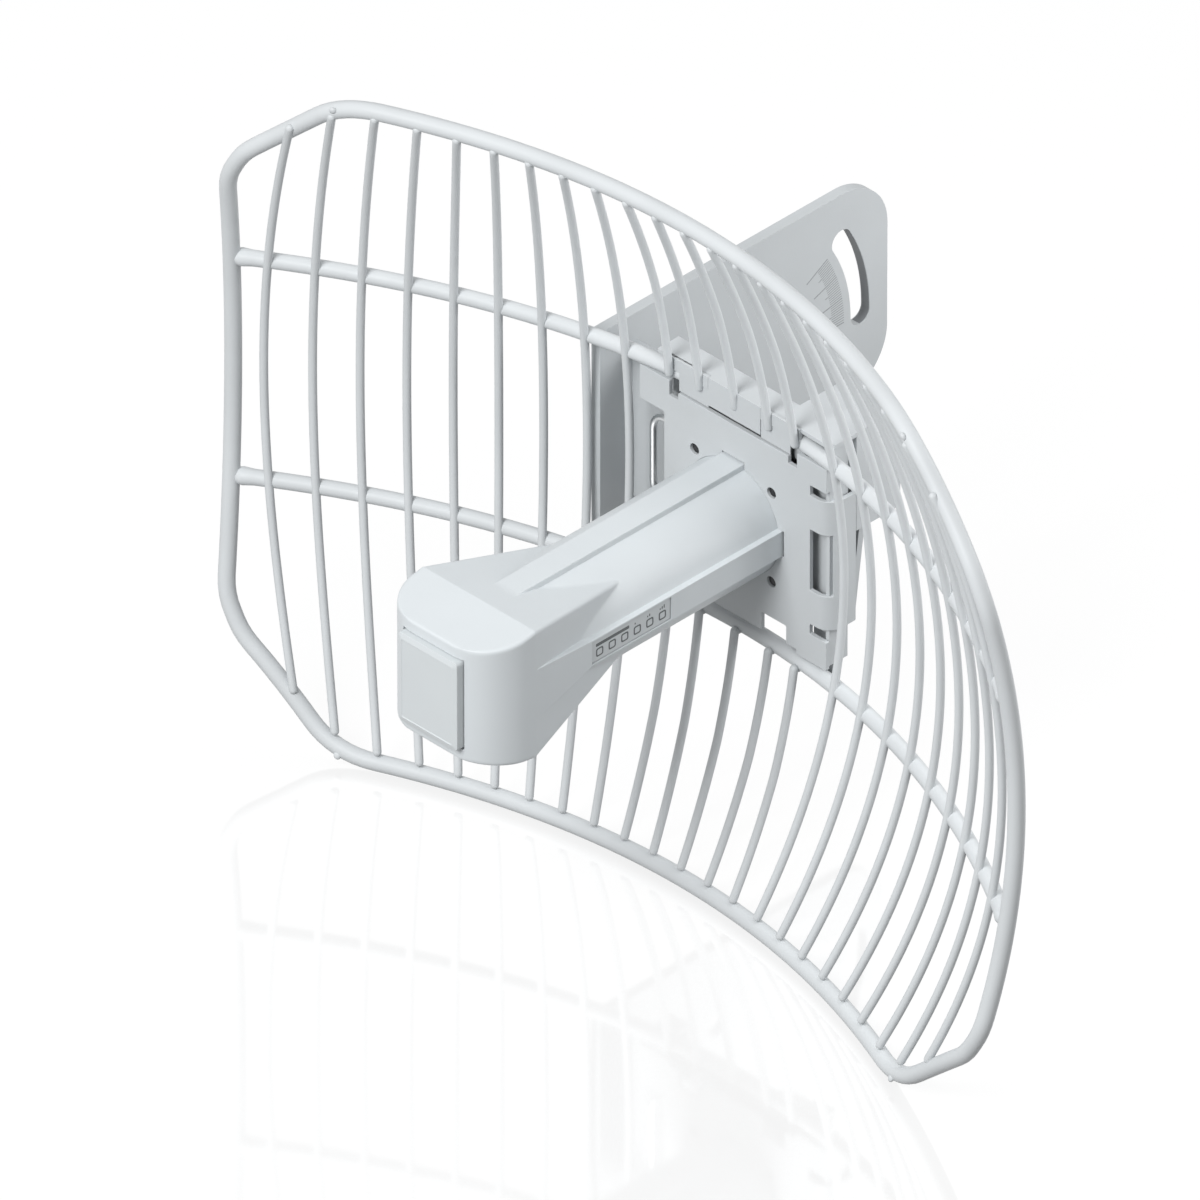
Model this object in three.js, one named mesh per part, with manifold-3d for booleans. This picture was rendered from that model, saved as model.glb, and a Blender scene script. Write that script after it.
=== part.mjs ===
// Outdoor wireless bridge: a wire grid dish with a radio feed plugged into its hub.
// Millimetres, +Z up. The dish opens towards -Y and is widest along X.
// The drawing axes have their zero on the feed's axis, level with the grid's rods. The whole
// model is then moved so that the origin is the clamp face of the mounting wing.

import * as THREE from 'three';
import { mergeVertices } from 'three/addons/utils/BufferGeometryUtils.js';
import { ConvexGeometry } from 'three/addons/geometries/ConvexGeometry.js';
import Module from 'manifold-3d';

const wasm = await Module();
wasm.setup();

// ---- Driving dimensions -------------------------------------------------------------------

const GAP = 0.3;                 // clearance between pieces that touch
const PAST = 1;                  // how far a cutting tool runs past the face it cuts
const OVERLAP = 0.1;             // how far joined solids reach into each other

// Dish: a paraboloid that the wires lie in.
const FOCAL_LENGTH = 132.5;
const DISH = 4 * FOCAL_LENGTH;
const VERTEX_Y = -0.66;
const GRID_Z = -1.8;              // the grid's middle lies a little below the feed's axis
const WIRE_D = 3;
const ROD_D = 5.5;
const RIM_D = 6;
const ROD_Z = 42.7;              // height of the two rods above and below the grid's middle
const ROD_END_GAP = 1.8;         // where the rods' round ends would be welded to the rim
const OUTER_WIRE = 11;           // wires are numbered -11 to 11 from left to right
const CUT_WIRE = 2;              // wires -2 to 2 stop at the rods to clear the hub
const WIRE_PITCH = 15.74;        // spacing along the rods, measured round the curve
const TIP_PITCH = 12.26;          // spacing across the dish at the wires' tips
const TIP_FAN = 0.063;           // how much further apart the outermost tips are
const TIP_Z = 126;
const OUTER_TIP_Z = 112.2;       // the outermost wires end on the chamfered corners
const RIM_HALF_WIDTH = 175.6;
const RIM_SIDE_BOW = 6.6;
const RIM_TOP_Z = 123.7;         // the rim reaches a little further down than up
const RIM_TOP_X = 125.6;
const RIM_UPPER_CORNER_Z = 85;
const RIM_BOTTOM_Z = -128.2;
const RIM_BOTTOM_X = 127.2;
const RIM_LOWER_CORNER_Z = -90.6;
const RIM_BEND = 13;             // how far each corner's bend reaches along its sides

// Feed plate: folded sheet in front of the hub, with cut-outs round its edges.
const SHEET_T = 1.6;
const PLATE_FRONT_Y = -4.4;
const PLATE_BACK_Y = PLATE_FRONT_Y + SHEET_T;
const PLATE_HALF_WIDTH = 42.5;
const PLATE_HALF_HEIGHT = 40.3;
const FINGER_NOTCH_X = -31.3;    // the left edge is cut back to here to reach the clip
const FINGER_NOTCH_HALF = 25.5;
const TOP_STEP_HALF = 25;        // the top edge is lower between these
const TOP_STEP_Z = 35.8;
const TOP_NOTCH_X = 27;
const TOP_NOTCH_HALF = 2;
const TOP_NOTCH_Z = 33;
const BOTTOM_STEP_HALF = 29;
const BOTTOM_STEP_Z = -38.4;
const BOTTOM_NOTCH_X = 18.7;
const BOTTOM_NOTCH_HALF = 5.6;
const BOTTOM_NOTCH_Z = -31.5;
const FLANGE_HALF_HEIGHT = 25.2; // the right edge is folded back between two relief cuts
const FLANGE_REAR_Y = 7.6;
const RELIEF_X = 35;
const RELIEF_Z = 27.3;
const RELIEF_HALF = 2;
const WINDOW_HALF_HEIGHT = 12;

// Rear bracket: a folded sheet behind the plate, and the wing that carries it.
const BRACKET_LEFT = -35;
const BRACKET_RIGHT = 42;
const WEB_FRONT_Y = 11.3;
const WEB_BACK_Y = 13.8;
const SHELF_Z = 30;
const SHELF_T = 2;
const RISER_FRONT_Y = 3.6;
const RISER_BACK_Y = 6;
const HOOK_FRONT_Y = -3.7;       // the top edge folds forwards over the upper rod
const HOOK_TOP_Z = 48.2;
const HOOK_UNDER_Z = HOOK_TOP_Z - SHEET_T;
const LIP_HALF_WIDTH = 11.8;       // and down again in the middle
const LIP_FRONT_Y = -5;
const LIP_BOTTOM_Z = 37.3;
const WIRE_SLOT_HALF = 2;        // the middle wire's end stands in a slot in the lip
const WIRE_SLOT_BOTTOM_Z = 40.3;
const WIRE_SLOT_BACK_Y = -3;
const LOWER_CLIP_X = 33.5;
const LOWER_CLIP_HALF = 4.5;
const LOWER_CLIP_FRONT_Y = -1;
const LOWER_CLIP_END_Z = 49.3;   // the lower clips reach down to here, under the lower rod
const FEED_HOLE_SLACK = 0.8;
const SIDE_WALL_FRONT_Y = -2.4;
const SIDE_WALL_BOTTOM_Z = -39.5;
const CHEEK_X = 42.3;
const CHEEK_BACK_Y = 28;
const CHEEK_BOTTOM_Z = 9.7;
const TOP_PLATE_LEFT = 20;
const TOP_PLATE_FRONT_Y = -2;
const WING_T = 4;
const WING_FACE_X = -61.4;
const WING_FRONT_Y = -3.5;
const WING_BACK_Y = 128.5;
const WING_HALF_HEIGHT = 41;
const WING_CORNER_R = 21;
const PIVOT_Y = 51;
const PIVOT_Z = -10;
const BOLT_HOLE_R = 4.4;
const ARC_R = 65;                // radius of the elevation slot
const ARC_SWEEP = Math.PI / 6;   // 30 degrees of elevation
const CLAMP_FACE = new THREE.Vector3(WING_FACE_X, 80, PIVOT_Z);

// Feed socket, its screws and the wire clip that locks the feed in it.
const SOCKET_FRONT_Y = PLATE_BACK_Y + GAP;
const SOCKET_FLANGE_HALF = 24.5;
const SOCKET_FLANGE_BACK_Y = 1.5;
const SLEEVE_R = 26;
const SLEEVE_BACK_Y = 9;
const SCREW_OFFSET = 17.5;
const SCREW_R = 1.6;
const SCREW_HOLE_R = 2;
const SCREW_HEAD_R = 3;
const SCREW_HEAD_FRONT_Y = 5.5;
const SCREW_HEAD_BACK_Y = 7.6;
const SCREW_HEAD_SLACK = 0.4;
const CLIP_D = 2.4;
const CLIP_Y = 2.5;
const CLIP_ARM_Z = 16;
const CLIP_LEG_X = -43;
const CLIP_BEND = 5.5;
const CLIP_TIP_X = -15.9;
const CLIP_TIP_Z = 12;           // the arms close in to pass between the screws
const CLIP_CRANK_X = -27;
const CLIP_TRAVEL = 4;
const CLIP_SLACK = 0.4;

// Feed: a round body with four ridges that grows into a square head.
const BODY_R = 21;
const BORE_R = 18.5;
const RIDGE_R = 22.5;
const RIDGE_HALF_WIDTH = 5;
const FEED_REAR_Y = 13;
const RIDGE_REAR_Y = 9.5;
const HEAD_FRONT_Y = -141;
const HEAD_BACK_Y = -120;
const TAPER_END_Y = -69.5;
const TAPER_END_HALF = 14.8;
const HEAD_HALF_WIDTH = 26;
const HEAD_HALF_HEIGHT = 25;
const HEAD_FRONT_HALF_HEIGHT = 21.7;
const HEAD_CORNER_R = 17;
const HEAD_CORNER_STEPS = 8;
const HEAD_EDGE = 1.5;
const HEAD_WALL = 2.6;
const CHAMBER_FRONT_Y = HEAD_FRONT_Y + 4.5;
const WEDGE_ROOT_X = 15;         // the wedges between side ridges and head start in here
const WEDGE_HALF_HEIGHT = 10;
const BADGE_HALF_WIDTH = 13.5;
const BADGE_HALF_HEIGHT = 17.3;
const BADGE_FRONT_Y = -143.8;
const BADGE_BACK_Y = -139.5;
const LABEL_FRONT_Y = -91;
const LABEL_REAR_Y = -55;
const LABEL_HALF_HEIGHT = 4.4;
const LABEL_SEAT_X = 21.3;
const LABEL_T = 0.6;

// Indicators: the light pipe's pins end behind the label.
const LED_COUNT = 6;
const LED_PITCH = 5.7;
const LED_FIRST_Y = -87.3;
const PIPE_RAIL_X = 15.2;
const PIPE_RAIL_T = 2;
const PIPE_HALF_WIDTH = 0.9;
const PIPE_BOTTOM_Z = -1.9;
const PIPE_TOP_Z = -0.1;

// Radio: a board that lies along the feed, with the antenna's feed point in the head.
const BOARD_TOP_Z = -5.2;
const BOARD_T = 1.6;
const BOARD_HALF_WIDTH = 17.2;
const BOARD_FRONT_Y = -118;
const BOARD_REAR_Y = 6;
const ON_BOARD_Z = BOARD_TOP_Z + GAP;
const SHIELD_HALF_WIDTH = 13;
const SHIELD_FRONT_Y = -96;
const SHIELD_REAR_Y = -30;
const SHIELD_H = 6;
const SHIELD_T = 0.8;
const DIPOLE_Y = -124;
const DIPOLE_T = 0.8;
const DIPOLE_ARM = 19;
const DIPOLE_HALF_HEIGHT = 5;
const LINE_R = 1.8;
const LINE_HOLE_R = 2.4;
const LINE_Z = -1.5;
const SUB_REFLECTOR_Y = -130;
const SUB_REFLECTOR_R = 17;
const SUB_REFLECTOR_T = 1;

// Rear end: a standard network jack behind a bulkhead, a reset button and a cover.
const JACK_REAR_Y = 7;
const JACK_LENGTH = 21;
const JACK_HALF_WIDTH = 8;
const JACK_H = 13.4;
const PORT_DEPTH = 15;
const PORT_HALF_WIDTH = 5.9;
const PORT_BOTTOM_Z = ON_BOARD_Z + 2.6;
const PORT_TOP_Z = PORT_BOTTOM_Z + 8;
const KEYWAY_HALF_WIDTH = 3.1;
const KEYWAY_H = 1.4;
const BULKHEAD_FRONT_Y = 7.3;
const BULKHEAD_BACK_Y = 9.3;
const BUTTON_X = -12.5;
const BUTTON_Z = 2;
const BUTTON_R = 1.6;
const BUTTON_FRONT_Y = 4;
const BUTTON_BACK_Y = 10.6;
const BUTTON_COLLAR_R = 2.4;
const BUTTON_COLLAR_Y = 4.4;
const COVER_R = 23.4;
const COVER_SLACK = 0.4;
const COVER_FRONT_Y = 11;
const COVER_BACK_Y = 30;
const COVER_END_T = 2;
const SEAL_T = 0.9;
const NOTCH_HALF_WIDTH = 4.5;
const NOTCH_BACK_Y = 24;
const NOTCH_TOP_Z = 12;

// ---- Materials ----------------------------------------------------------------------------

function finish(color, roughness, metalness = 0) {
  return new THREE.MeshStandardMaterial({ color, roughness, metalness });
}

const POWDER_COAT = finish('#dfe3e5', 0.45);
const BRACKET_COAT = finish('#c8cccf', 0.5);
const FEED_PLASTIC = finish('#d4d8da', 0.4);
const BADGE_PLASTIC = finish('#d0d4d6', 0.45);
const SOCKET_PLASTIC = finish('#b9bdc0', 0.5);
const LABEL_FILM = finish('#a9afb2', 0.35);
const CLEAR_RESIN = finish('#dfe8ea', 0.1);
const STEEL = finish('#b4b8ba', 0.3, 1);
const CIRCUIT_BOARD = finish('#1f6b3a', 0.4);
const TINPLATE = finish('#c3c6c8', 0.3, 1);
const BRASS = finish('#b08d4a', 0.3, 1);
const ALUMINIUM = finish('#c5c8ca', 0.35, 1);
const BLACK_PLASTIC = finish('#26282a', 0.5);
const SEAL_RUBBER = finish('#3a3c3e', 0.8);

// ---- Solid tools --------------------------------------------------------------------------

function toSolid(geometry) {
  geometry.deleteAttribute('normal');
  geometry.deleteAttribute('uv');
  const welded = mergeVertices(geometry, 1e-4);
  return new wasm.Manifold(new wasm.Mesh({
    numProp: 3,
    vertProperties: new Float32Array(welded.attributes.position.array),
    triVerts: new Uint32Array(welded.index.array),
  }));
}

function toGeometry(solid) {
  const { vertProperties, triVerts } = solid.getMesh();
  const geometry = new THREE.BufferGeometry();
  geometry.setAttribute('position', new THREE.BufferAttribute(vertProperties, 3));
  geometry.setIndex(new THREE.BufferAttribute(triVerts, 1));
  return geometry;
}

function join(...solids) {
  return solids.reduce((whole, piece) => whole.add(piece));
}

function cut(solid, ...tools) {
  return tools.reduce((rest, tool) => rest.subtract(tool), solid);
}

// A block between two corners.
function block(x0, x1, y0, y1, z0, z1) {
  const geometry = new THREE.BoxGeometry(x1 - x0, y1 - y0, z1 - z0);
  return toSolid(geometry.translate((x0 + x1) / 2, (y0 + y1) / 2, (z0 + z1) / 2));
}

// A round bar along Y.
function roundBar(radius, y0, y1, x = 0, z = 0, sides = 40) {
  const geometry = new THREE.CylinderGeometry(radius, radius, y1 - y0, sides);
  return toSolid(geometry.translate(x, (y0 + y1) / 2, z));
}

// A flat outline drawn in (y, z), as a sheet between two values of x.
function sheetYZ(shape, x0, x1) {
  const geometry = new THREE.ExtrudeGeometry(shape, {
    depth: x1 - x0, bevelEnabled: false, curveSegments: 16,
  });
  return toSolid(geometry.rotateX(Math.PI / 2).rotateZ(Math.PI / 2).translate(x0, 0, 0));
}

function polygon(radius, sides) {
  const points = [];
  for (let i = 0; i < sides; i += 1) {
    const angle = 2 * Math.PI * (i + 0.5) / sides;
    points.push(new THREE.Vector2(radius * Math.cos(angle), radius * Math.sin(angle)));
  }
  return new THREE.Shape(points);
}

// A round bar bent along a curve.
function bar(curve, diameter, steps, sides = 8) {
  return new THREE.ExtrudeGeometry(polygon(diameter / 2, sides), {
    extrudePath: curve, steps, bevelEnabled: false,
  });
}

// A flat ring round the Y axis.
function ring(innerR, outerR, y0, y1) {
  const profile = [
    new THREE.Vector2(innerR, y0),
    new THREE.Vector2(outerR, y0),
    new THREE.Vector2(outerR, y1),
    new THREE.Vector2(innerR, y1),
    new THREE.Vector2(innerR, y0),
  ];
  return toSolid(new THREE.LatheGeometry(profile, 40));
}

// ---- The assembly -------------------------------------------------------------------------

const bridge = new THREE.Group();
const grid = new THREE.Group();
const hub = new THREE.Group();
const feed = new THREE.Group();
bridge.add(grid, hub, feed);

function place(group, name, geometry, material) {
  const mesh = new THREE.Mesh(geometry, material);
  mesh.name = name;
  group.add(mesh);
}

// ---- Grid ---------------------------------------------------------------------------------

const RIM_STEPS = 132;
const ROD_STEPS = 26;
const ROD_SLACK = 0.1;

// A point of the dish, moved back from its surface by depth.
function dishPoint(x, z, depth = 0) {
  const back = new THREE.Vector3(2 * x / DISH, 1, 2 * z / DISH).normalize();
  const point = new THREE.Vector3(x, VERTEX_Y - (x * x + z * z) / DISH, z + GRID_Z);
  return point.addScaledVector(back, depth);
}

// The x that lies a given length round the dish's horizontal parabola.
function acrossDish(length) {
  let x = length;
  for (let i = 0; i < 5; i += 1) {
    const slope = 2 * x / DISH;
    const reached = DISH / 4 * (slope * Math.hypot(1, slope) + Math.asinh(slope));
    x -= (reached - length) / Math.hypot(1, slope);
  }
  return x;
}

// A line drawn on the dish: at(t) gives its x and z.
class DishCurve extends THREE.Curve {
  constructor(at, depth = 0) {
    super();
    this.at = at;
    this.depth = depth;
  }

  getPoint(t, target = new THREE.Vector3()) {
    const { x, z } = this.at(t);
    return target.copy(dishPoint(x, z, this.depth));
  }
}

// Wires stand upright and lean towards the middle at their tips.
function wireCurve(number, bottomZ, topZ) {
  const rodX = acrossDish(number * WIRE_PITCH);
  const tipX = number * TIP_PITCH * (1 + TIP_FAN * (number / OUTER_WIRE) ** 4);
  const tipZ = wireTipZ(number);
  return new DishCurve((t) => {
    const z = bottomZ + (topZ - bottomZ) * t;
    const lean = (z * z - ROD_Z * ROD_Z) / (tipZ * tipZ - ROD_Z * ROD_Z);
    return { x: rodX + (tipX - rodX) * lean, z };
  });
}

function wireTipZ(number) {
  return Math.abs(number) === OUTER_WIRE ? OUTER_TIP_Z : TIP_Z;
}

function addWires() {
  for (let number = -OUTER_WIRE; number <= OUTER_WIRE; number += 1) {
    const label = String(number + OUTER_WIRE + 1).padStart(2, '0');
    const tipZ = wireTipZ(number);
    if (Math.abs(number) > CUT_WIRE) {
      const curve = wireCurve(number, -tipZ, tipZ);
      place(grid, `wire_${label}`, bar(curve, WIRE_D, 12), POWDER_COAT);
    } else {
      const upper = wireCurve(number, ROD_Z, tipZ);
      const lower = wireCurve(number, -tipZ, -ROD_Z);
      place(grid, `wire_${label}_upper`, bar(upper, WIRE_D, 5), POWDER_COAT);
      place(grid, `wire_${label}_lower`, bar(lower, WIRE_D, 5), POWDER_COAT);
    }
  }
}

// Rods run behind the wires and end just inside the rim's upright sides.
function rodCurve(side) {
  const halfSpan = RIM_HALF_WIDTH - RIM_D / 2 - ROD_END_GAP;
  const depth = (WIRE_D + ROD_D) / 2 + GAP;
  return new DishCurve((t) => ({ x: halfSpan * (2 * t - 1), z: side * ROD_Z }), depth);
}

// The rim's outline seen from the front, with its corners rounded.
function rimOutline() {
  const sideX = RIM_HALF_WIDTH - RIM_SIDE_BOW;
  const corners = [
    [-RIM_TOP_X, RIM_TOP_Z],
    [RIM_TOP_X, RIM_TOP_Z],
    [sideX, RIM_UPPER_CORNER_Z],
    [sideX, RIM_LOWER_CORNER_Z],
    [RIM_BOTTOM_X, RIM_BOTTOM_Z],
    [-RIM_BOTTOM_X, RIM_BOTTOM_Z],
    [-sideX, RIM_LOWER_CORNER_Z],
    [-sideX, RIM_UPPER_CORNER_Z],
  ].map(([x, z]) => new THREE.Vector2(x, z));
  const path = new THREE.Path();
  corners.forEach((corner, i) => {
    const before = corners[(i + corners.length - 1) % corners.length];
    const after = corners[(i + 1) % corners.length];
    const enter = corner.clone().add(before.clone().sub(corner).setLength(RIM_BEND));
    const leave = corner.clone().add(after.clone().sub(corner).setLength(RIM_BEND));
    if (i === 0) {
      path.moveTo(enter.x, enter.y);
    } else {
      path.lineTo(enter.x, enter.y);
    }
    path.quadraticCurveTo(corner.x, corner.y, leave.x, leave.y);
  });
  path.closePath();
  return path;
}

// The rim's upright sides bow outwards at mid height.
function rimCurve() {
  const outline = rimOutline();
  const middleZ = (RIM_UPPER_CORNER_Z + RIM_LOWER_CORNER_Z) / 2;
  const reach = (RIM_UPPER_CORNER_Z - RIM_LOWER_CORNER_Z) / 2;
  return new DishCurve((t) => {
    const { x, y: z } = outline.getPoint(t);
    const bow = RIM_SIDE_BOW * Math.max(1 - ((z - middleZ) / reach) ** 2, 0);
    return { x: x + Math.sign(x) * bow, z };
  }, (WIRE_D + RIM_D) / 2 + GAP);
}

// The rim is welded into an endless loop, so its tube has no ends.
const rimTube = new THREE.TubeGeometry(rimCurve(), RIM_STEPS, RIM_D / 2, 8, true);
place(grid, 'rim', toGeometry(toSolid(rimTube)), POWDER_COAT);
place(grid, 'rod_upper', bar(rodCurve(1), ROD_D, ROD_STEPS), POWDER_COAT);
place(grid, 'rod_lower', bar(rodCurve(-1), ROD_D, ROD_STEPS), POWDER_COAT);
addWires();

// The room that sheet parts leave for a rod.
function rodClearance(side) {
  return toSolid(bar(rodCurve(side), ROD_D + 2 * GAP + ROD_SLACK, ROD_STEPS));
}

// ---- Hub: front plate, rear bracket, feed socket and clip ----------------------------------

const SCREW_PLACES = [[-1, 1], [1, 1], [1, -1], [-1, -1]];

function screwHoles(radius, y0, y1) {
  const bars = SCREW_PLACES.map(([x, z]) => (
    roundBar(radius, y0, y1, x * SCREW_OFFSET, z * SCREW_OFFSET, 16)
  ));
  return join(...bars);
}

// The feed's cross-section between two values of y, grown by a clearance.
function feedSection(y0, y1, clearance) {
  const reach = RIDGE_R + clearance;
  const half = RIDGE_HALF_WIDTH + clearance;
  return join(
    roundBar(BODY_R + clearance, y0, y1),
    block(-reach, reach, y0, y1, -half, half),
    block(-half, half, y0, y1, -reach, reach),
  );
}

// A cut through the flat of the plate.
function plateCut(x0, x1, z0, z1) {
  return block(x0, x1, PLATE_FRONT_Y - PAST, PLATE_BACK_Y + PAST, z0, z1);
}

function feedPlate() {
  const right = PLATE_HALF_WIDTH;
  const top = PLATE_HALF_HEIGHT;
  const sheet = block(-right, right, PLATE_FRONT_Y, PLATE_BACK_Y, -top, top);
  const flange = block(
    right - OVERLAP, right + SHEET_T, PLATE_FRONT_Y, FLANGE_REAR_Y,
    -FLANGE_HALF_HEIGHT, FLANGE_HALF_HEIGHT,
  );
  const window = block(
    RELIEF_X, right + SHEET_T + PAST, PLATE_FRONT_Y - PAST, PLATE_BACK_Y + PAST + OVERLAP,
    -WINDOW_HALF_HEIGHT, WINDOW_HALF_HEIGHT,
  );
  const finger = plateCut(-right - PAST, FINGER_NOTCH_X, -FINGER_NOTCH_HALF, FINGER_NOTCH_HALF);
  const topStep = plateCut(-TOP_STEP_HALF, TOP_STEP_HALF, TOP_STEP_Z, top + PAST);
  const bottomStep = plateCut(-BOTTOM_STEP_HALF, BOTTOM_STEP_HALF, -top - PAST, BOTTOM_STEP_Z);
  const notches = [];
  for (const side of [-1, 1]) {
    const topX = side * TOP_NOTCH_X;
    const bottomX = side * BOTTOM_NOTCH_X;
    const reliefZ = side * RELIEF_Z;
    notches.push(
      plateCut(topX - TOP_NOTCH_HALF, topX + TOP_NOTCH_HALF, TOP_NOTCH_Z, top + PAST),
      plateCut(bottomX - BOTTOM_NOTCH_HALF, bottomX + BOTTOM_NOTCH_HALF, -top - PAST, BOTTOM_NOTCH_Z),
      plateCut(RELIEF_X, right - 2 * OVERLAP, reliefZ - RELIEF_HALF, reliefZ + RELIEF_HALF),
    );
  }
  const feedHole = feedSection(PLATE_FRONT_Y - PAST, PLATE_BACK_Y + PAST, GAP);
  const holes = screwHoles(SCREW_HOLE_R, PLATE_FRONT_Y - PAST, PLATE_BACK_Y + PAST);
  return cut(
    join(sheet, flange), finger, window, topStep, bottomStep, ...notches, feedHole, holes,
    rodClearance(1), rodClearance(-1),
  );
}

function wingOutline() {
  const shape = new THREE.Shape();
  const cornerY = WING_BACK_Y - WING_CORNER_R;
  const cornerZ = WING_HALF_HEIGHT - WING_CORNER_R;
  shape.moveTo(WING_FRONT_Y, -WING_HALF_HEIGHT);
  shape.lineTo(cornerY, -WING_HALF_HEIGHT);
  shape.absarc(cornerY, -cornerZ, WING_CORNER_R, -Math.PI / 2, 0, false);
  shape.absarc(cornerY, cornerZ, WING_CORNER_R, 0, Math.PI / 2, false);
  shape.lineTo(WING_FRONT_Y, WING_HALF_HEIGHT);
  shape.closePath();
  const pivot = new THREE.Path();
  pivot.absarc(PIVOT_Y, PIVOT_Z, BOLT_HOLE_R, 0, 2 * Math.PI, true);
  shape.holes.push(pivot, arcSlot());
  return shape;
}

// The elevation slot: an arc round the pivot with round ends.
function arcSlot() {
  const slot = new THREE.Path();
  const endY = PIVOT_Y + ARC_R * Math.cos(ARC_SWEEP);
  const endZ = PIVOT_Z + ARC_R * Math.sin(ARC_SWEEP);
  slot.absarc(PIVOT_Y, PIVOT_Z, ARC_R + BOLT_HOLE_R, 0, ARC_SWEEP, false);
  slot.absarc(endY, endZ, BOLT_HOLE_R, ARC_SWEEP, ARC_SWEEP + Math.PI, false);
  slot.absarc(PIVOT_Y, PIVOT_Z, ARC_R - BOLT_HOLE_R, ARC_SWEEP, 0, true);
  slot.absarc(PIVOT_Y + ARC_R, PIVOT_Z, BOLT_HOLE_R, Math.PI, 2 * Math.PI, false);
  return slot;
}

// A strip of the rear bracket between two values of x: shelf, riser and hook over a rod.
function rodHook(x0, x1, side, hookFrontY, endZ) {
  const slab = (y0, y1, z0, z1) => block(
    x0, x1, y0, y1, Math.min(side * z0, side * z1), Math.max(side * z0, side * z1),
  );
  return join(
    slab(RISER_FRONT_Y, WEB_BACK_Y, SHELF_Z - SHELF_T, SHELF_Z),
    slab(RISER_FRONT_Y, RISER_BACK_Y, SHELF_Z - SHELF_T, endZ),
    slab(hookFrontY, RISER_BACK_Y, endZ - SHEET_T, endZ),
  );
}

function rearBracket() {
  const right = BRACKET_RIGHT;
  const wing = sheetYZ(wingOutline(), WING_FACE_X - WING_T, WING_FACE_X);
  const web = block(WING_FACE_X - OVERLAP, right, WEB_FRONT_Y, WEB_BACK_Y, -SHELF_Z, SHELF_Z);
  const lip = block(
    -LIP_HALF_WIDTH, LIP_HALF_WIDTH, LIP_FRONT_Y, LIP_FRONT_Y + SHEET_T, LIP_BOTTOM_Z, HOOK_TOP_Z,
  );
  const sideWall = block(
    right - SHEET_T, right, SIDE_WALL_FRONT_Y, RISER_BACK_Y, SIDE_WALL_BOTTOM_Z, HOOK_UNDER_Z + OVERLAP,
  );
  const topPlate = block(
    TOP_PLATE_LEFT, CHEEK_X + SHEET_T, TOP_PLATE_FRONT_Y, CHEEK_BACK_Y, HOOK_UNDER_Z, HOOK_TOP_Z,
  );
  const cheek = block(
    right - SHEET_T, CHEEK_X + SHEET_T, FLANGE_REAR_Y + GAP, CHEEK_BACK_Y, CHEEK_BOTTOM_Z, HOOK_TOP_Z,
  );
  const lowerClips = [-1, 1].map((side) => rodHook(
    side * LOWER_CLIP_X - LOWER_CLIP_HALF, side * LOWER_CLIP_X + LOWER_CLIP_HALF,
    -1, LOWER_CLIP_FRONT_Y, LOWER_CLIP_END_Z,
  ));
  const upperHook = rodHook(BRACKET_LEFT, right, 1, HOOK_FRONT_Y, HOOK_TOP_Z);
  const whole = join(wing, web, upperHook, lip, sideWall, topPlate, cheek, ...lowerClips);
  const wireSlot = block(
    -WIRE_SLOT_HALF, WIRE_SLOT_HALF, LIP_FRONT_Y - PAST, WIRE_SLOT_BACK_Y,
    WIRE_SLOT_BOTTOM_Z, HOOK_TOP_Z + PAST,
  );
  const feedHole = roundBar(SLEEVE_R + FEED_HOLE_SLACK, WEB_FRONT_Y - PAST, WEB_BACK_Y + PAST);
  return cut(whole, wireSlot, feedHole, rodClearance(1), rodClearance(-1));
}

function feedSocket() {
  const half = SOCKET_FLANGE_HALF;
  const flange = block(-half, half, SOCKET_FRONT_Y, SOCKET_FLANGE_BACK_Y, -half, half);
  const sleeve = roundBar(SLEEVE_R, SOCKET_FLANGE_BACK_Y - OVERLAP, SLEEVE_BACK_Y);
  const headSeatY = SCREW_HEAD_FRONT_Y - GAP;
  return cut(
    join(flange, sleeve),
    feedSection(SOCKET_FRONT_Y - PAST, SLEEVE_BACK_Y + PAST, GAP),
    screwHoles(SCREW_HOLE_R, SOCKET_FRONT_Y - PAST, headSeatY + OVERLAP),
    screwHoles(SCREW_HEAD_R + SCREW_HEAD_SLACK, headSeatY, SLEEVE_BACK_Y + PAST),
    clipSlots(CLIP_TIP_X + CLIP_TRAVEL),
  );
}

// Two square slots that the clip's arms run in, from outside the sleeve to x.
function clipSlots(x) {
  const half = CLIP_D / 2 + CLIP_SLACK;
  const slots = [-1, 1].map((side) => block(
    -SLEEVE_R - PAST, x, CLIP_Y - half, CLIP_Y + half, side * CLIP_TIP_Z - half, side * CLIP_TIP_Z + half,
  ));
  return join(...slots);
}

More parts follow.
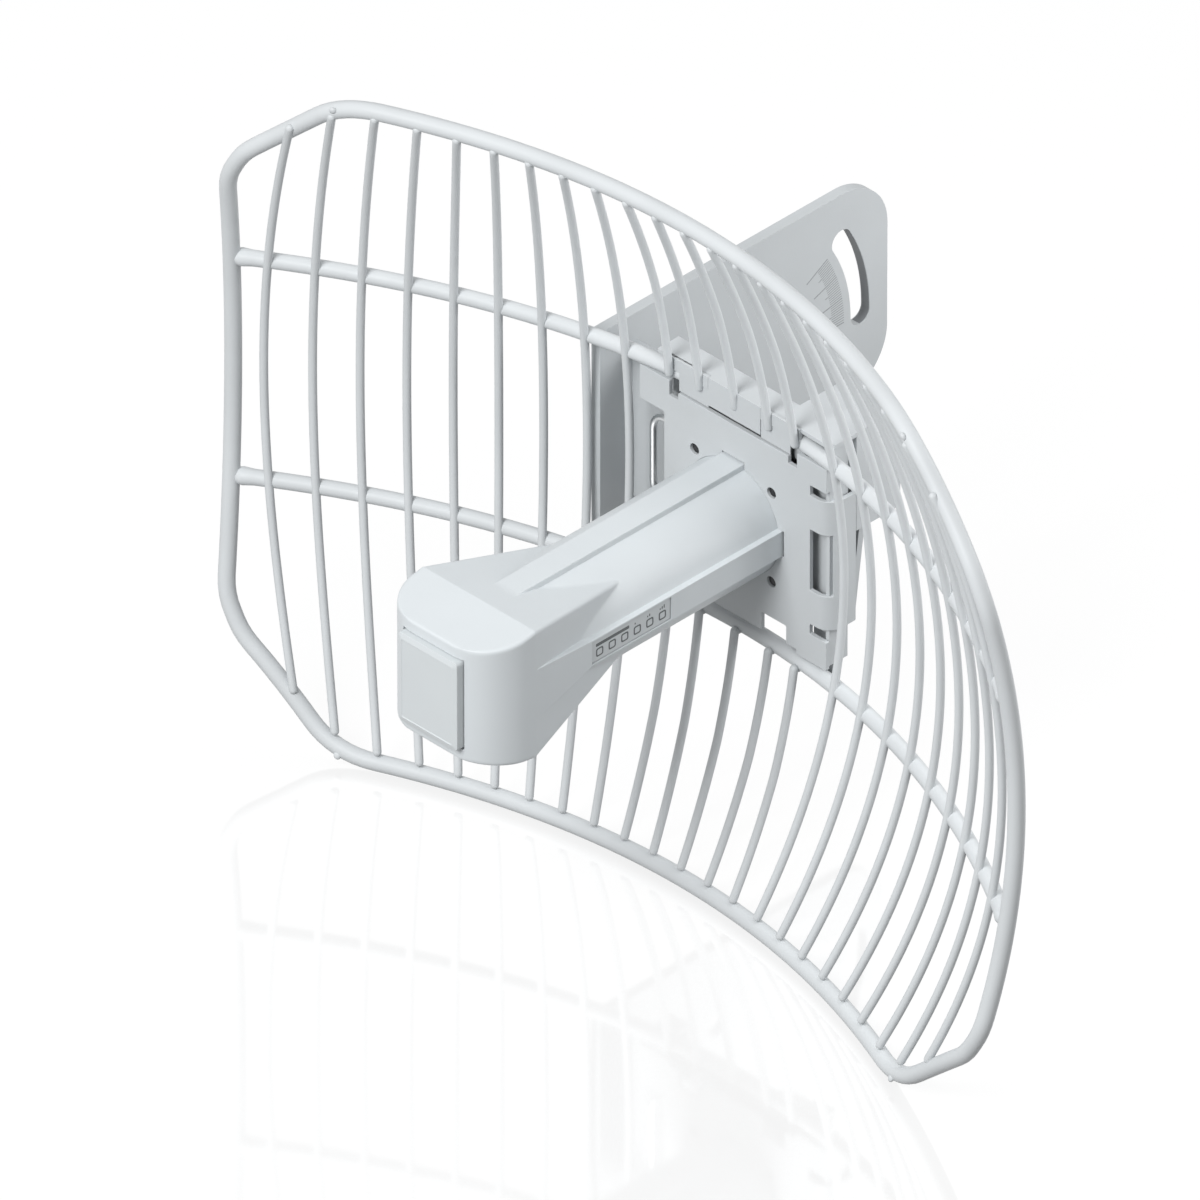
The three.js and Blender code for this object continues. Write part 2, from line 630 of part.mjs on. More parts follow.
// The clip is one bent wire: two cranked arms joined by an upright leg.
function clipCurve() {
  const at = (x, z) => new THREE.Vector3(x, CLIP_Y, z);
  const armEndX = CLIP_LEG_X + CLIP_BEND;
  const legEndZ = CLIP_ARM_Z - CLIP_BEND;
  const crankX = (CLIP_CRANK_X + armEndX) / 2;
  const arm = (side) => {
    const inner = at(CLIP_CRANK_X, side * CLIP_TIP_Z);
    const outer = at(armEndX, side * CLIP_ARM_Z);
    const corner = at(CLIP_LEG_X, side * CLIP_ARM_Z);
    const crank = [at(crankX, side * CLIP_TIP_Z), at(crankX, side * CLIP_ARM_Z)];
    const tip = at(CLIP_TIP_X, side * CLIP_TIP_Z);
    const leg = at(CLIP_LEG_X, side * legEndZ);
    return { tip, inner, crank, outer, corner, leg };
  };
  const upper = arm(1);
  const lower = arm(-1);
  const path = new THREE.CurvePath();
  path.add(new THREE.LineCurve3(upper.tip, upper.inner));
  path.add(new THREE.CubicBezierCurve3(upper.inner, ...upper.crank, upper.outer));
  path.add(new THREE.QuadraticBezierCurve3(upper.outer, upper.corner, upper.leg));
  path.add(new THREE.LineCurve3(upper.leg, lower.leg));
  path.add(new THREE.QuadraticBezierCurve3(lower.leg, lower.corner, lower.outer));
  path.add(new THREE.CubicBezierCurve3(lower.outer, ...lower.crank.reverse(), lower.inner));
  path.add(new THREE.LineCurve3(lower.inner, lower.tip));
  return path;
}

// A pan-head screw driven in from behind: its shank stops short of the plate's face.
function socketScrew([sideX, sideZ]) {
  const x = sideX * SCREW_OFFSET;
  const z = sideZ * SCREW_OFFSET;
  const shank = roundBar(SCREW_R, PLATE_FRONT_Y + 0.8, SCREW_HEAD_FRONT_Y + OVERLAP, x, z, 16);
  const pan = roundBar(SCREW_HEAD_R, SCREW_HEAD_FRONT_Y, SCREW_HEAD_BACK_Y, x, z, 16);
  const recess = (halfX, halfZ) => block(
    x - halfX, x + halfX, SCREW_HEAD_BACK_Y - 0.8, SCREW_HEAD_BACK_Y + PAST, z - halfZ, z + halfZ,
  );
  return cut(join(shank, pan), recess(2, 0.4), recess(0.4, 2));
}

place(hub, 'feed_plate', toGeometry(feedPlate()), BRACKET_COAT);
place(hub, 'rear_bracket', toGeometry(rearBracket()), BRACKET_COAT);
place(hub, 'feed_socket', toGeometry(feedSocket()), SOCKET_PLASTIC);
place(hub, 'release_clip', bar(clipCurve(), CLIP_D, 44), STEEL);
SCREW_PLACES.forEach((side, i) => {
  place(hub, `socket_screw_${i + 1}`, toGeometry(socketScrew(side)), STEEL);
});

// ---- Feed housing --------------------------------------------------------------------------

// The head's height follows its front-to-back slope.
function headHalfHeight(y) {
  const share = Math.min(1, (y - HEAD_FRONT_Y) / (HEAD_BACK_Y - HEAD_FRONT_Y));
  return HEAD_FRONT_HALF_HEIGHT + (HEAD_HALF_HEIGHT - HEAD_FRONT_HALF_HEIGHT) * share;
}

// All four mirror images of a point, with the edge between side and top taken off.
function headCorners(x, y, z, edge) {
  const points = [];
  for (const sideX of [-1, 1]) {
    for (const sideZ of [-1, 1]) {
      points.push(new THREE.Vector3(sideX * (x - edge), y, sideZ * z));
      points.push(new THREE.Vector3(sideX * x, y, sideZ * (z - edge)));
    }
  }
  return points;
}

// The square head, rounded in plan at its front corners, with walls moved in by inset.
function headPoints(inset, frontY) {
  const points = [];
  for (let i = 0; i <= HEAD_CORNER_STEPS; i += 1) {
    const angle = Math.PI / 2 * i / HEAD_CORNER_STEPS;
    const x = HEAD_HALF_WIDTH - HEAD_CORNER_R * (1 - Math.sin(angle)) - inset;
    const y = frontY + HEAD_CORNER_R * (1 - Math.cos(angle));
    points.push(...headCorners(x, y, headHalfHeight(y) - inset, HEAD_EDGE));
  }
  points.push(...headCorners(HEAD_HALF_WIDTH - inset, HEAD_BACK_Y, HEAD_HALF_HEIGHT - inset, HEAD_EDGE));
  return points;
}

// Behind the head the housing narrows to a square that the round body swallows.
function headAndTaper() {
  const neck = headCorners(TAPER_END_HALF, TAPER_END_Y, TAPER_END_HALF, HEAD_EDGE / 2);
  return toSolid(new ConvexGeometry([...headPoints(0, HEAD_FRONT_Y), ...neck]));
}

// A side ridge widens into the head.
function ridgeWedge(sideX) {
  const points = [];
  for (const sideZ of [-1, 1]) {
    for (const [x, y, z] of [
      [RIDGE_R, LABEL_FRONT_Y, RIDGE_HALF_WIDTH],
      [WEDGE_ROOT_X, LABEL_FRONT_Y, RIDGE_HALF_WIDTH],
      [HEAD_HALF_WIDTH, HEAD_BACK_Y - OVERLAP, WEDGE_HALF_HEIGHT],
      [WEDGE_ROOT_X, HEAD_BACK_Y - OVERLAP, WEDGE_HALF_HEIGHT],
    ]) {
      points.push(new THREE.Vector3(sideX * x, y, sideZ * z));
    }
  }
  return toSolid(new ConvexGeometry(points));
}

function ledY(i) {
  return LED_FIRST_Y + i * LED_PITCH;
}

// A block at each indicator.
function atLeds(x0, x1, halfWidth, slack) {
  const blocks = [];
  for (let i = 0; i < LED_COUNT; i += 1) {
    const y = ledY(i);
    blocks.push(block(x0, x1, y - halfWidth, y + halfWidth, PIPE_BOTTOM_Z - slack, PIPE_TOP_Z + slack));
  }
  return join(...blocks);
}

function feedHousing() {
  const ridgeFrontY = HEAD_BACK_Y + OVERLAP;
  const outside = join(
    headAndTaper(),
    roundBar(BODY_R, HEAD_BACK_Y, FEED_REAR_Y),
    block(-RIDGE_R, RIDGE_R, ridgeFrontY, RIDGE_REAR_Y, -RIDGE_HALF_WIDTH, RIDGE_HALF_WIDTH),
    block(-RIDGE_HALF_WIDTH, RIDGE_HALF_WIDTH, ridgeFrontY, RIDGE_REAR_Y, -RIDGE_R, RIDGE_R),
    ridgeWedge(1),
    ridgeWedge(-1),
  );
  const bore = roundBar(BORE_R, HEAD_BACK_Y - PAST, FEED_REAR_Y + PAST);
  const chamber = toSolid(new ConvexGeometry(headPoints(HEAD_WALL, CHAMBER_FRONT_Y)));
  const badgeX = BADGE_HALF_WIDTH + GAP;
  const badgeZ = BADGE_HALF_HEIGHT + GAP;
  const badgeSeat = block(-badgeX, badgeX, HEAD_FRONT_Y - PAST, BADGE_BACK_Y + GAP, -badgeZ, badgeZ);
  const labelSeat = block(
    LABEL_SEAT_X, HEAD_HALF_WIDTH + PAST, LABEL_FRONT_Y, LABEL_REAR_Y, -LABEL_HALF_HEIGHT, LABEL_HALF_HEIGHT,
  );
  const slotX = BOARD_HALF_WIDTH + 2 * GAP;
  const boardSlot = block(
    -slotX, slotX, BOARD_FRONT_Y - PAST, FEED_REAR_Y + PAST, BOARD_TOP_Z - BOARD_T - GAP, BOARD_TOP_Z + GAP,
  );
  const pipeHoles = atLeds(PIPE_RAIL_X + OVERLAP, RIDGE_R + PAST, PIPE_HALF_WIDTH + GAP, GAP);
  return cut(outside, bore, chamber, badgeSeat, labelSeat, boardSlot, pipeHoles, clipSlots(CLIP_TIP_X + GAP));
}

function badgePanel() {
  return block(
    -BADGE_HALF_WIDTH, BADGE_HALF_WIDTH, BADGE_FRONT_Y, BADGE_BACK_Y,
    -BADGE_HALF_HEIGHT, BADGE_HALF_HEIGHT,
  );
}

function indicatorLabel() {
  return block(
    LABEL_SEAT_X + GAP, LABEL_SEAT_X + GAP + LABEL_T, LABEL_FRONT_Y + GAP, LABEL_REAR_Y - GAP,
    -LABEL_HALF_HEIGHT + GAP, LABEL_HALF_HEIGHT - GAP,
  );
}

// One clear moulding carries the light of every indicator: a rail with a pin at each.
function lightPipe() {
  const railX = PIPE_RAIL_X + PIPE_RAIL_T;
  const rail = block(
    PIPE_RAIL_X, railX, ledY(0) - LED_PITCH / 3, ledY(LED_COUNT - 1) + LED_PITCH / 3,
    PIPE_BOTTOM_Z, PIPE_TOP_Z,
  );
  return join(rail, atLeds(railX - OVERLAP, LABEL_SEAT_X - GAP, PIPE_HALF_WIDTH, 0));
}

place(feed, 'feed_housing', toGeometry(feedHousing()), FEED_PLASTIC);
place(feed, 'badge_panel', toGeometry(badgePanel()), BADGE_PLASTIC);
place(feed, 'indicator_label', toGeometry(indicatorLabel()), LABEL_FILM);
place(feed, 'light_pipe', toGeometry(lightPipe()), CLEAR_RESIN);

// ---- Radio inside the feed -----------------------------------------------------------------

function radioBoard() {
  return block(
    -BOARD_HALF_WIDTH, BOARD_HALF_WIDTH, BOARD_FRONT_Y, BOARD_REAR_Y, BOARD_TOP_Z - BOARD_T, BOARD_TOP_Z,
  );
}

// A can, open underneath, over the transmitter.
function rfShield() {
  const half = SHIELD_HALF_WIDTH;
  const top = ON_BOARD_Z + SHIELD_H;
  const can = block(-half, half, SHIELD_FRONT_Y, SHIELD_REAR_Y, ON_BOARD_Z, top);
  const room = block(
    -half + SHIELD_T, half - SHIELD_T, SHIELD_FRONT_Y + SHIELD_T, SHIELD_REAR_Y - SHIELD_T,
    ON_BOARD_Z - PAST, top - SHIELD_T,
  );
  return cut(can, room);
}

function networkJack() {
  const frontY = JACK_REAR_Y - JACK_LENGTH;
  const portFrontY = JACK_REAR_Y - PORT_DEPTH;
  const shell = block(
    -JACK_HALF_WIDTH, JACK_HALF_WIDTH, frontY, JACK_REAR_Y, ON_BOARD_Z, ON_BOARD_Z + JACK_H,
  );
  const port = block(
    -PORT_HALF_WIDTH, PORT_HALF_WIDTH, portFrontY, JACK_REAR_Y + PAST, PORT_BOTTOM_Z, PORT_TOP_Z,
  );
  const keyway = block(
    -KEYWAY_HALF_WIDTH, KEYWAY_HALF_WIDTH, portFrontY, JACK_REAR_Y + PAST,
    PORT_TOP_Z - OVERLAP, PORT_TOP_Z + KEYWAY_H,
  );
  return cut(shell, port, keyway);
}

// Two arms joined by a bridge with a hole for the feed line.
function dipole() {
  const front = DIPOLE_Y - DIPOLE_T / 2;
  const back = DIPOLE_Y + DIPOLE_T / 2;
  const arms = block(-DIPOLE_ARM, DIPOLE_ARM, front, back, -DIPOLE_HALF_HEIGHT, DIPOLE_HALF_HEIGHT);
  const splitHalf = DIPOLE_T;
  const split = block(
    -splitHalf, splitHalf, front - PAST, back + PAST, LINE_Z + LINE_HOLE_R + PAST, DIPOLE_HALF_HEIGHT + PAST,
  );
  const lineHole = roundBar(LINE_HOLE_R, front - PAST, back + PAST, 0, LINE_Z, 16);
  return cut(arms, split, lineHole);
}

function feedLine() {
  const frontY = SUB_REFLECTOR_Y + SUB_REFLECTOR_T + GAP;
  return roundBar(LINE_R, frontY, BOARD_FRONT_Y - GAP, 0, LINE_Z, 16);
}

function subReflector() {
  return roundBar(SUB_REFLECTOR_R, SUB_REFLECTOR_Y, SUB_REFLECTOR_Y + SUB_REFLECTOR_T);
}

// A disc that closes the feed's rear end round the jack and the button.
function rearBulkhead() {
  const front = BULKHEAD_FRONT_Y - PAST;
  const back = BULKHEAD_BACK_Y + PAST;
  const portX = PORT_HALF_WIDTH + 2 * GAP;
  const disc = roundBar(BORE_R - GAP, BULKHEAD_FRONT_Y, BULKHEAD_BACK_Y);
  const port = block(
    -portX, portX, front, back, PORT_BOTTOM_Z - 2 * GAP, PORT_TOP_Z + KEYWAY_H + 2 * GAP,
  );
  const buttonHole = roundBar(BUTTON_R + GAP, front, back, BUTTON_X, BUTTON_Z, 16);
  return cut(disc, port, buttonHole);
}

function resetButton() {
  const stem = roundBar(BUTTON_R, BUTTON_FRONT_Y, BUTTON_BACK_Y, BUTTON_X, BUTTON_Z, 16);
  const collar = roundBar(
    BUTTON_COLLAR_R, BUTTON_COLLAR_Y, BUTTON_COLLAR_Y + PAST, BUTTON_X, BUTTON_Z, 16,
  );
  return join(stem, collar);
}

function portSeal() {
  return ring(BODY_R + COVER_SLACK, COVER_R - OVERLAP, COVER_FRONT_Y - GAP - SEAL_T, COVER_FRONT_Y - GAP);
}

// A cup that slides over the feed's rear end, with a notch for the network lead.
function portCover() {
  const cup = roundBar(COVER_R, COVER_FRONT_Y, COVER_BACK_Y);
  const room = roundBar(BODY_R + COVER_SLACK, COVER_FRONT_Y - PAST, COVER_BACK_Y - COVER_END_T);
  const leadNotch = block(
    -NOTCH_HALF_WIDTH, NOTCH_HALF_WIDTH, COVER_FRONT_Y - PAST, NOTCH_BACK_Y, -COVER_R - PAST, -NOTCH_TOP_Z,
  );
  return cut(cup, room, leadNotch);
}

place(feed, 'radio_board', toGeometry(radioBoard()), CIRCUIT_BOARD);
place(feed, 'rf_shield', toGeometry(rfShield()), TINPLATE);
place(feed, 'network_jack', toGeometry(networkJack()), TINPLATE);
place(feed, 'dipole', toGeometry(dipole()), BRASS);
place(feed, 'feed_line', toGeometry(feedLine()), BRASS);
place(feed, 'sub_reflector', toGeometry(subReflector()), ALUMINIUM);
place(feed, 'rear_bulkhead', toGeometry(rearBulkhead()), BLACK_PLASTIC);
place(feed, 'reset_button', toGeometry(resetButton()), BLACK_PLASTIC);
place(feed, 'port_seal', toGeometry(portSeal()), SEAL_RUBBER);
place(feed, 'port_cover', toGeometry(portCover()), FEED_PLASTIC);

bridge.position.copy(CLAMP_FACE).negate();

export default bridge;
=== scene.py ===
"""Looks of the outdoor wireless bridge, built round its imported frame.

Lengths are millimetres in the drawing axes of the CAD part: zero lies on the feed's axis,
level with the grid's rods, x to the right, y backwards and z up. piece() turns them into
metres in the row frame.
"""
import math

import bmesh
import bpy
import numpy as np
from mathutils import Matrix, Vector


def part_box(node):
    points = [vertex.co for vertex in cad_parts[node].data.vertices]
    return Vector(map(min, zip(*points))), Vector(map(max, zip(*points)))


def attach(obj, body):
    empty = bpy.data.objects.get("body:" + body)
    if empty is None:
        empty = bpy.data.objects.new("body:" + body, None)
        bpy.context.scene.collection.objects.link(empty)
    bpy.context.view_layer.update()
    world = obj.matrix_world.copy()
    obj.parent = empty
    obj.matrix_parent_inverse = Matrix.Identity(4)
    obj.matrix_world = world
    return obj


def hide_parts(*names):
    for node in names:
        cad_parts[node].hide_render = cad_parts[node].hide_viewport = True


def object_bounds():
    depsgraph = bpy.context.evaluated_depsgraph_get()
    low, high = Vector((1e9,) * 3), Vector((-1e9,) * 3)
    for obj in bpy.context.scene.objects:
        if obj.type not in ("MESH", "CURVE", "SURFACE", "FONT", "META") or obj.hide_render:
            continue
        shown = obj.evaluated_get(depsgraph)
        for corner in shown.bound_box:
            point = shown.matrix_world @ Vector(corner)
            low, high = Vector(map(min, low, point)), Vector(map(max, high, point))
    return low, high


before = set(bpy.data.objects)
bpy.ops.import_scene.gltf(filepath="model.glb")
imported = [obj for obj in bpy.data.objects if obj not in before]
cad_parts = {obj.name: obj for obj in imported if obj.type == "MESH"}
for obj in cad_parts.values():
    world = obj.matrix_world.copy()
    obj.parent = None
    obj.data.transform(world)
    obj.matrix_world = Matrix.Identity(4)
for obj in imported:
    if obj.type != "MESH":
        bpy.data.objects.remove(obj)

cad_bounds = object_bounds()
MM = 0.001
BODY = "bridge"


def box_mm(node):
    """A CAD node's lowest and highest corner in millimetres of the row frame."""
    low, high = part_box(node)
    return low / MM, high / MM


# The drawing's zero in the row frame: on the feed line's axis, behind the plate's front face.
PLATE_FRONT_Y = -4.4
_line = box_mm("feed_line")
_socket = box_mm("feed_socket")
ORIGIN = Vector((
    (_line[0].x + _line[1].x) / 2,
    box_mm("feed_plate")[0].y - PLATE_FRONT_Y,
    (_socket[0].z + _socket[1].z) / 2,
))
TO_ROW = Matrix.Scale(MM, 4) @ Matrix.Translation(ORIGIN)


# ---- Camera ----

VIEW_AZIMUTH = math.radians(45)
VIEW_ELEVATION = math.atan(1 / math.sqrt(2))    # an isometric view
CAMERA_DISTANCE = 15.0
FIELD_WIDTH = 0.387                             # what the picture's width spans at the object
AIM_FROM_ORIGIN = Vector((-18.1, -46.85, -21.2))


def placed(name, data):
    """A new object in the scene."""
    item = bpy.data.objects.new(name, data)
    bpy.context.scene.collection.objects.link(item)
    return item


def look_at(item, aim, azimuth, elevation, distance):
    """Puts an object at a distance from aim, facing it. Azimuth 0 is in front of the dish."""
    back = Vector((
        math.sin(azimuth) * math.cos(elevation),
        -math.cos(azimuth) * math.cos(elevation),
        math.sin(elevation),
    ))
    item.location = aim + back * distance
    item.rotation_mode = "QUATERNION"
    item.rotation_quaternion = (-back).to_track_quat("-Z", "Y")


def set_inputs(node, values):
    for name, value in values.items():
        node.inputs[name].default_value = value


def add_camera():
    data = bpy.data.cameras.new("camera")
    data.lens = data.sensor_width * CAMERA_DISTANCE / FIELD_WIDTH
    data.clip_end = 3 * CAMERA_DISTANCE
    camera = placed("camera", data)
    aim = (ORIGIN + AIM_FROM_ORIGIN) * MM
    look_at(camera, aim, VIEW_AZIMUTH, VIEW_ELEVATION, CAMERA_DISTANCE)
    bpy.context.scene.camera = camera


add_camera()


# ---- Materials ----

RELIEF_DEPTH = 0.0003


def new_material(name):
    """A material with its shader."""
    material = bpy.data.materials.new(name)
    material.use_nodes = True
    return material, material.node_tree.nodes["Principled BSDF"]


def surface(name, color, roughness, *, metallic=0.0, grain=900.0, bump=0.08, mottle=0.03,
            rough_spread=0.06, shine=0.5, stretch=(1, 1, 1)):
    """A material with fine grain in its bump, slow mottling in its colour and uneven gloss."""
    material, shader = new_material(name)
    nodes, links = material.node_tree.nodes, material.node_tree.links
    set_inputs(shader, {"Metallic": metallic, "Specular IOR Level": shine})

    place = nodes.new("ShaderNodeTexCoord")
    mapping = nodes.new("ShaderNodeMapping")
    set_inputs(mapping, {"Scale": stretch})
    links.new(place.outputs["Object"], mapping.inputs["Vector"])

    def noise(scale, detail):
        node = nodes.new("ShaderNodeTexNoise")
        set_inputs(node, {"Scale": scale, "Detail": detail})
        links.new(mapping.outputs["Vector"], node.inputs["Vector"])
        return node.outputs["Fac"]

    slow = noise(28, 3)
    fine = noise(grain, 2)

    ramp = nodes.new("ShaderNodeValToRGB")
    ends = ((0.3, 1 - mottle), (0.7, 1 + mottle))
    for element, (position, share) in zip(ramp.color_ramp.elements, ends):
        element.position = position
        element.color = [*(min(1, c * share) for c in color), 1]
    links.new(slow, ramp.inputs["Fac"])
    links.new(ramp.outputs["Color"], shader.inputs["Base Color"])

    gloss = nodes.new("ShaderNodeMapRange")
    set_inputs(gloss, {"To Min": roughness - rough_spread, "To Max": roughness + rough_spread})
    links.new(fine, gloss.inputs["Value"])
    links.new(gloss.outputs["Result"], shader.inputs["Roughness"])

    relief = nodes.new("ShaderNodeBump")
    set_inputs(relief, {"Strength": bump, "Distance": RELIEF_DEPTH})
    links.new(fine, relief.inputs["Height"])
    links.new(relief.outputs["Normal"], shader.inputs["Normal"])
    return material


POWDER = surface("powder_coat", (0.58, 0.605, 0.62), 0.4, grain=1400, bump=0.12, shine=0.15)
BRACKET = surface("bracket_coat", (0.50, 0.525, 0.54), 0.45, grain=1700, bump=0.16, shine=0.3)
PLASTIC = surface("feed_plastic", (0.60, 0.635, 0.655), 0.42, grain=2600, bump=0.07,
                  mottle=0.015, shine=0.3)
BADGE = surface("badge_plastic", (0.57, 0.605, 0.62), 0.36, grain=2600, bump=0.05, mottle=0.015)
SOCKET = surface("socket_plastic", (0.36, 0.375, 0.385), 0.5, grain=2200, bump=0.1)
LABEL = surface("label_film", (0.52, 0.55, 0.565), 0.34, grain=3200, bump=0.04, mottle=0.01)
INK = surface("label_ink", (0.09, 0.10, 0.105), 0.45, grain=3200, bump=0.03)
# painted shade: a dark colour for the shaded inside of the elevation slot
SLOT_PAINTED_SHADE = surface("slot_painted_shade", (0.19, 0.2, 0.21), 0.5, grain=1700, bump=0.12, shine=0.3)
SCALE_INK = surface("scale_ink", (0.26, 0.275, 0.285), 0.5, grain=2400, bump=0.05)
RESIN = surface("clear_resin", (0.80, 0.86, 0.87), 0.12, grain=900, bump=0.02, rough_spread=0.03)
STEEL = surface("zinc_steel", (0.60, 0.62, 0.63), 0.3, metallic=1.0, grain=1200, bump=0.08)
DARK_STEEL = surface("blackened_steel", (0.022, 0.023, 0.025), 0.45, grain=1200, shine=0.3)
BOARD = surface("circuit_board", (0.02, 0.13, 0.05), 0.35, grain=700, bump=0.1, mottle=0.2)
TIN = surface("tinplate", (0.63, 0.65, 0.66), 0.28, metallic=1.0, grain=800, bump=0.06,
              stretch=(1, 0.08, 1))
BRASS = surface("brass", (0.60, 0.42, 0.17), 0.28, metallic=1.0, grain=900, bump=0.05)
GOLD = surface("gold_contacts", (0.80, 0.58, 0.22), 0.2, metallic=1.0, grain=900, bump=0.03)
ALUMINIUM = surface("aluminium", (0.72, 0.73, 0.74), 0.3, metallic=1.0, grain=1000, bump=0.06,
                    stretch=(0.06, 1, 1))
BLACK = surface("black_plastic", (0.028, 0.029, 0.031), 0.48, grain=2400, bump=0.12, mottle=0.1)
RUBBER = surface("seal_rubber", (0.045, 0.046, 0.05), 0.7, grain=1500, bump=0.2, mottle=0.12)


# ---- Mesh tools ----

MERGE_DISTANCE = 1e-4
SHARP_ANGLE = math.radians(25)
BOX_FACES = [(0, 1, 3, 2), (4, 6, 7, 5), (0, 4, 5, 1), (2, 3, 7, 6), (0, 2, 6, 4), (1, 5, 7, 3)]


def evaluated(item):
    """An object's mesh with its modifiers or curve settings applied."""
    bpy.context.view_layer.update()
    return bpy.data.meshes.new_from_object(
        item.evaluated_get(bpy.context.evaluated_depsgraph_get()))


def with_flat_faces(mesh):
    """The mesh with its shading led by its large faces, so that flats next to bends look flat."""
    holder = placed("holder", mesh)
    weighted = holder.modifiers.new("weighted", "WEIGHTED_NORMAL")
    weighted.keep_sharp = True
    made = evaluated(holder)
    bpy.data.objects.remove(holder)
    bpy.data.meshes.remove(mesh)
    return made


def piece(name, mesh, material, *, body=BODY, stands_for=(), sharp=35, flats=False):
    """Puts a mesh drawn in millimetres into the scene and lets it ride on a body."""
    mesh.transform(TO_ROW)
    mesh.materials.clear()
    mesh.materials.append(material)
    mesh.set_sharp_from_angle(angle=math.radians(sharp))
    mesh.update()
    if flats:
        mesh = with_flat_faces(mesh)
    item = placed(name, mesh)
    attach(item, body)
    if stands_for:
        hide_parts(*stands_for)
    return item


def mesh_from(vertices, faces):
    mesh = bpy.data.meshes.new("mesh")
    mesh.from_pydata([tuple(v) for v in vertices], [], [tuple(f) for f in faces])
    mesh.validate()
    mesh.update()
    mesh.shade_smooth()
    return mesh


def to_mesh(bm):
    """A smooth mesh with its faces turned outwards."""
    mesh = bpy.data.meshes.new("mesh")
    bmesh.ops.recalc_face_normals(bm, faces=bm.faces)
    bm.to_mesh(mesh)
    bm.free()
    mesh.shade_smooth()
    return mesh


def taken_over(mesh):
    """A bmesh that takes a mesh's place."""
    bm = bmesh.new()
    bm.from_mesh(mesh)
    bpy.data.meshes.remove(mesh)
    return bm


def merged(mesh):
    """The mesh with its coinciding vertices made one."""
    bm = taken_over(mesh)
    bmesh.ops.remove_doubles(bm, verts=bm.verts, dist=MERGE_DISTANCE)
    return to_mesh(bm)


def joined(meshes):
    """One mesh that holds several separate bodies."""
    bm = bmesh.new()
    for mesh in meshes:
        bm.from_mesh(mesh)
        bpy.data.meshes.remove(mesh)
    result = bpy.data.meshes.new("mesh")
    bm.to_mesh(result)
    bm.free()
    result.shade_smooth()
    return result


def frames_along(points, closed):
    """A tangent and two cross directions at each point of a line, turned as little as possible."""
    points = np.asarray(points, float)
    if closed:
        tangents = np.roll(points, -1, 0) - np.roll(points, 1, 0)
    else:
        tangents = np.gradient(points, axis=0)
    tangents /= np.linalg.norm(tangents, axis=1)[:, None]
    start = np.cross(tangents[0], (0.0, 1.0, 0.0))
    side = start / np.linalg.norm(start)
    sides = []
    for tangent in tangents:
        side = side - tangent * (side @ tangent)
        side = side / np.linalg.norm(side)
        sides.append(side)
    sides = np.array(sides)
    return points, tangents, sides, np.cross(tangents, sides)


def tube(points, radius, sides=16, *, closed=False, cap_rings=4):
    """A round bar along a line, with dome ends where it isn't closed. radius may be a list."""
    points, tangents, across, up = frames_along(points, closed)
    radii = np.broadcast_to(np.asarray(radius, float), (len(points),))
    rings = list(zip(points, radii, across, up))
    if not closed:
        def dome(end, outwards):
            return [
                (points[end] + outwards * radii[end] * math.sin(angle),
                 radii[end] * math.cos(angle), across[end], up[end])
                for angle in (math.pi / 2 * i / cap_rings for i in range(1, cap_rings))
            ]
        rings = dome(0, -tangents[0])[::-1] + rings + dome(-1, tangents[-1])
    turns = np.arange(sides) * 2 * math.pi / sides
    vertices = []
    for centre, ring_radius, a, u in rings:
        ring = centre + ring_radius * (np.outer(np.cos(turns), a) + np.outer(np.sin(turns), u))
        vertices.extend(ring)
    count = len(rings)
    faces = []
    for i in range(count if closed else count - 1):
        j = (i + 1) % count
        for k in range(sides):
            m = (k + 1) % sides
            faces.append((i * sides + k, i * sides + m, j * sides + m, j * sides + k))
    if not closed:
        tips = (points[0] - tangents[0] * radii[0], points[-1] + tangents[-1] * radii[-1])
        for tip, base in zip(tips, (0, (count - 1) * sides)):
            vertices.append(tip)
            for k in range(sides):
                pair = (base + k, base + (k + 1) % sides)
                faces.append((*(pair if base else pair[::-1]), len(vertices) - 1))
    return to_mesh(taken_over(mesh_from(vertices, faces)))


def bridge_rings(bm, rings):
    """Fills the space between each ring of vertices and the next."""
    for ring, after in zip(rings, rings[1:]):
        for k in range(len(ring)):
            m = (k + 1) % len(ring)
            bm.faces.new((ring[k], ring[m], after[m], after[k]))


def lathe(profile, sides=96, centre=(0, 0)):
    """A profile of (radius, y) points turned round the Y axis. Points of radius 0 close it."""
    bm = bmesh.new()
    rings = []
    for radius, y in profile:
        if radius == 0:
            rings.append([bm.verts.new((centre[0], y, centre[1]))])
            continue
        rings.append([
            bm.verts.new((
                centre[0] + radius * math.cos(turn), y, centre[1] + radius * math.sin(turn),
            ))
            for turn in (2 * math.pi * k / sides for k in range(sides))
        ])
    for ring, after in zip(rings, rings[1:]):
        for k in range(sides):
            m = (k + 1) % sides
            corners = [ring[k % len(ring)], ring[m % len(ring)],
                       after[m % len(after)], after[k % len(after)]]
            unique = list(dict.fromkeys(corners))
            bm.faces.new(unique)
    return to_mesh(bm)


def bend(enter, corner, leave, steps):
    """Points on the curve that cuts a corner between two points on its legs."""
    return [
        enter * (1 - t) ** 2 + corner * 2 * t * (1 - t) + leave * t ** 2
        for t in (k / steps for k in range(steps + 1))
    ]


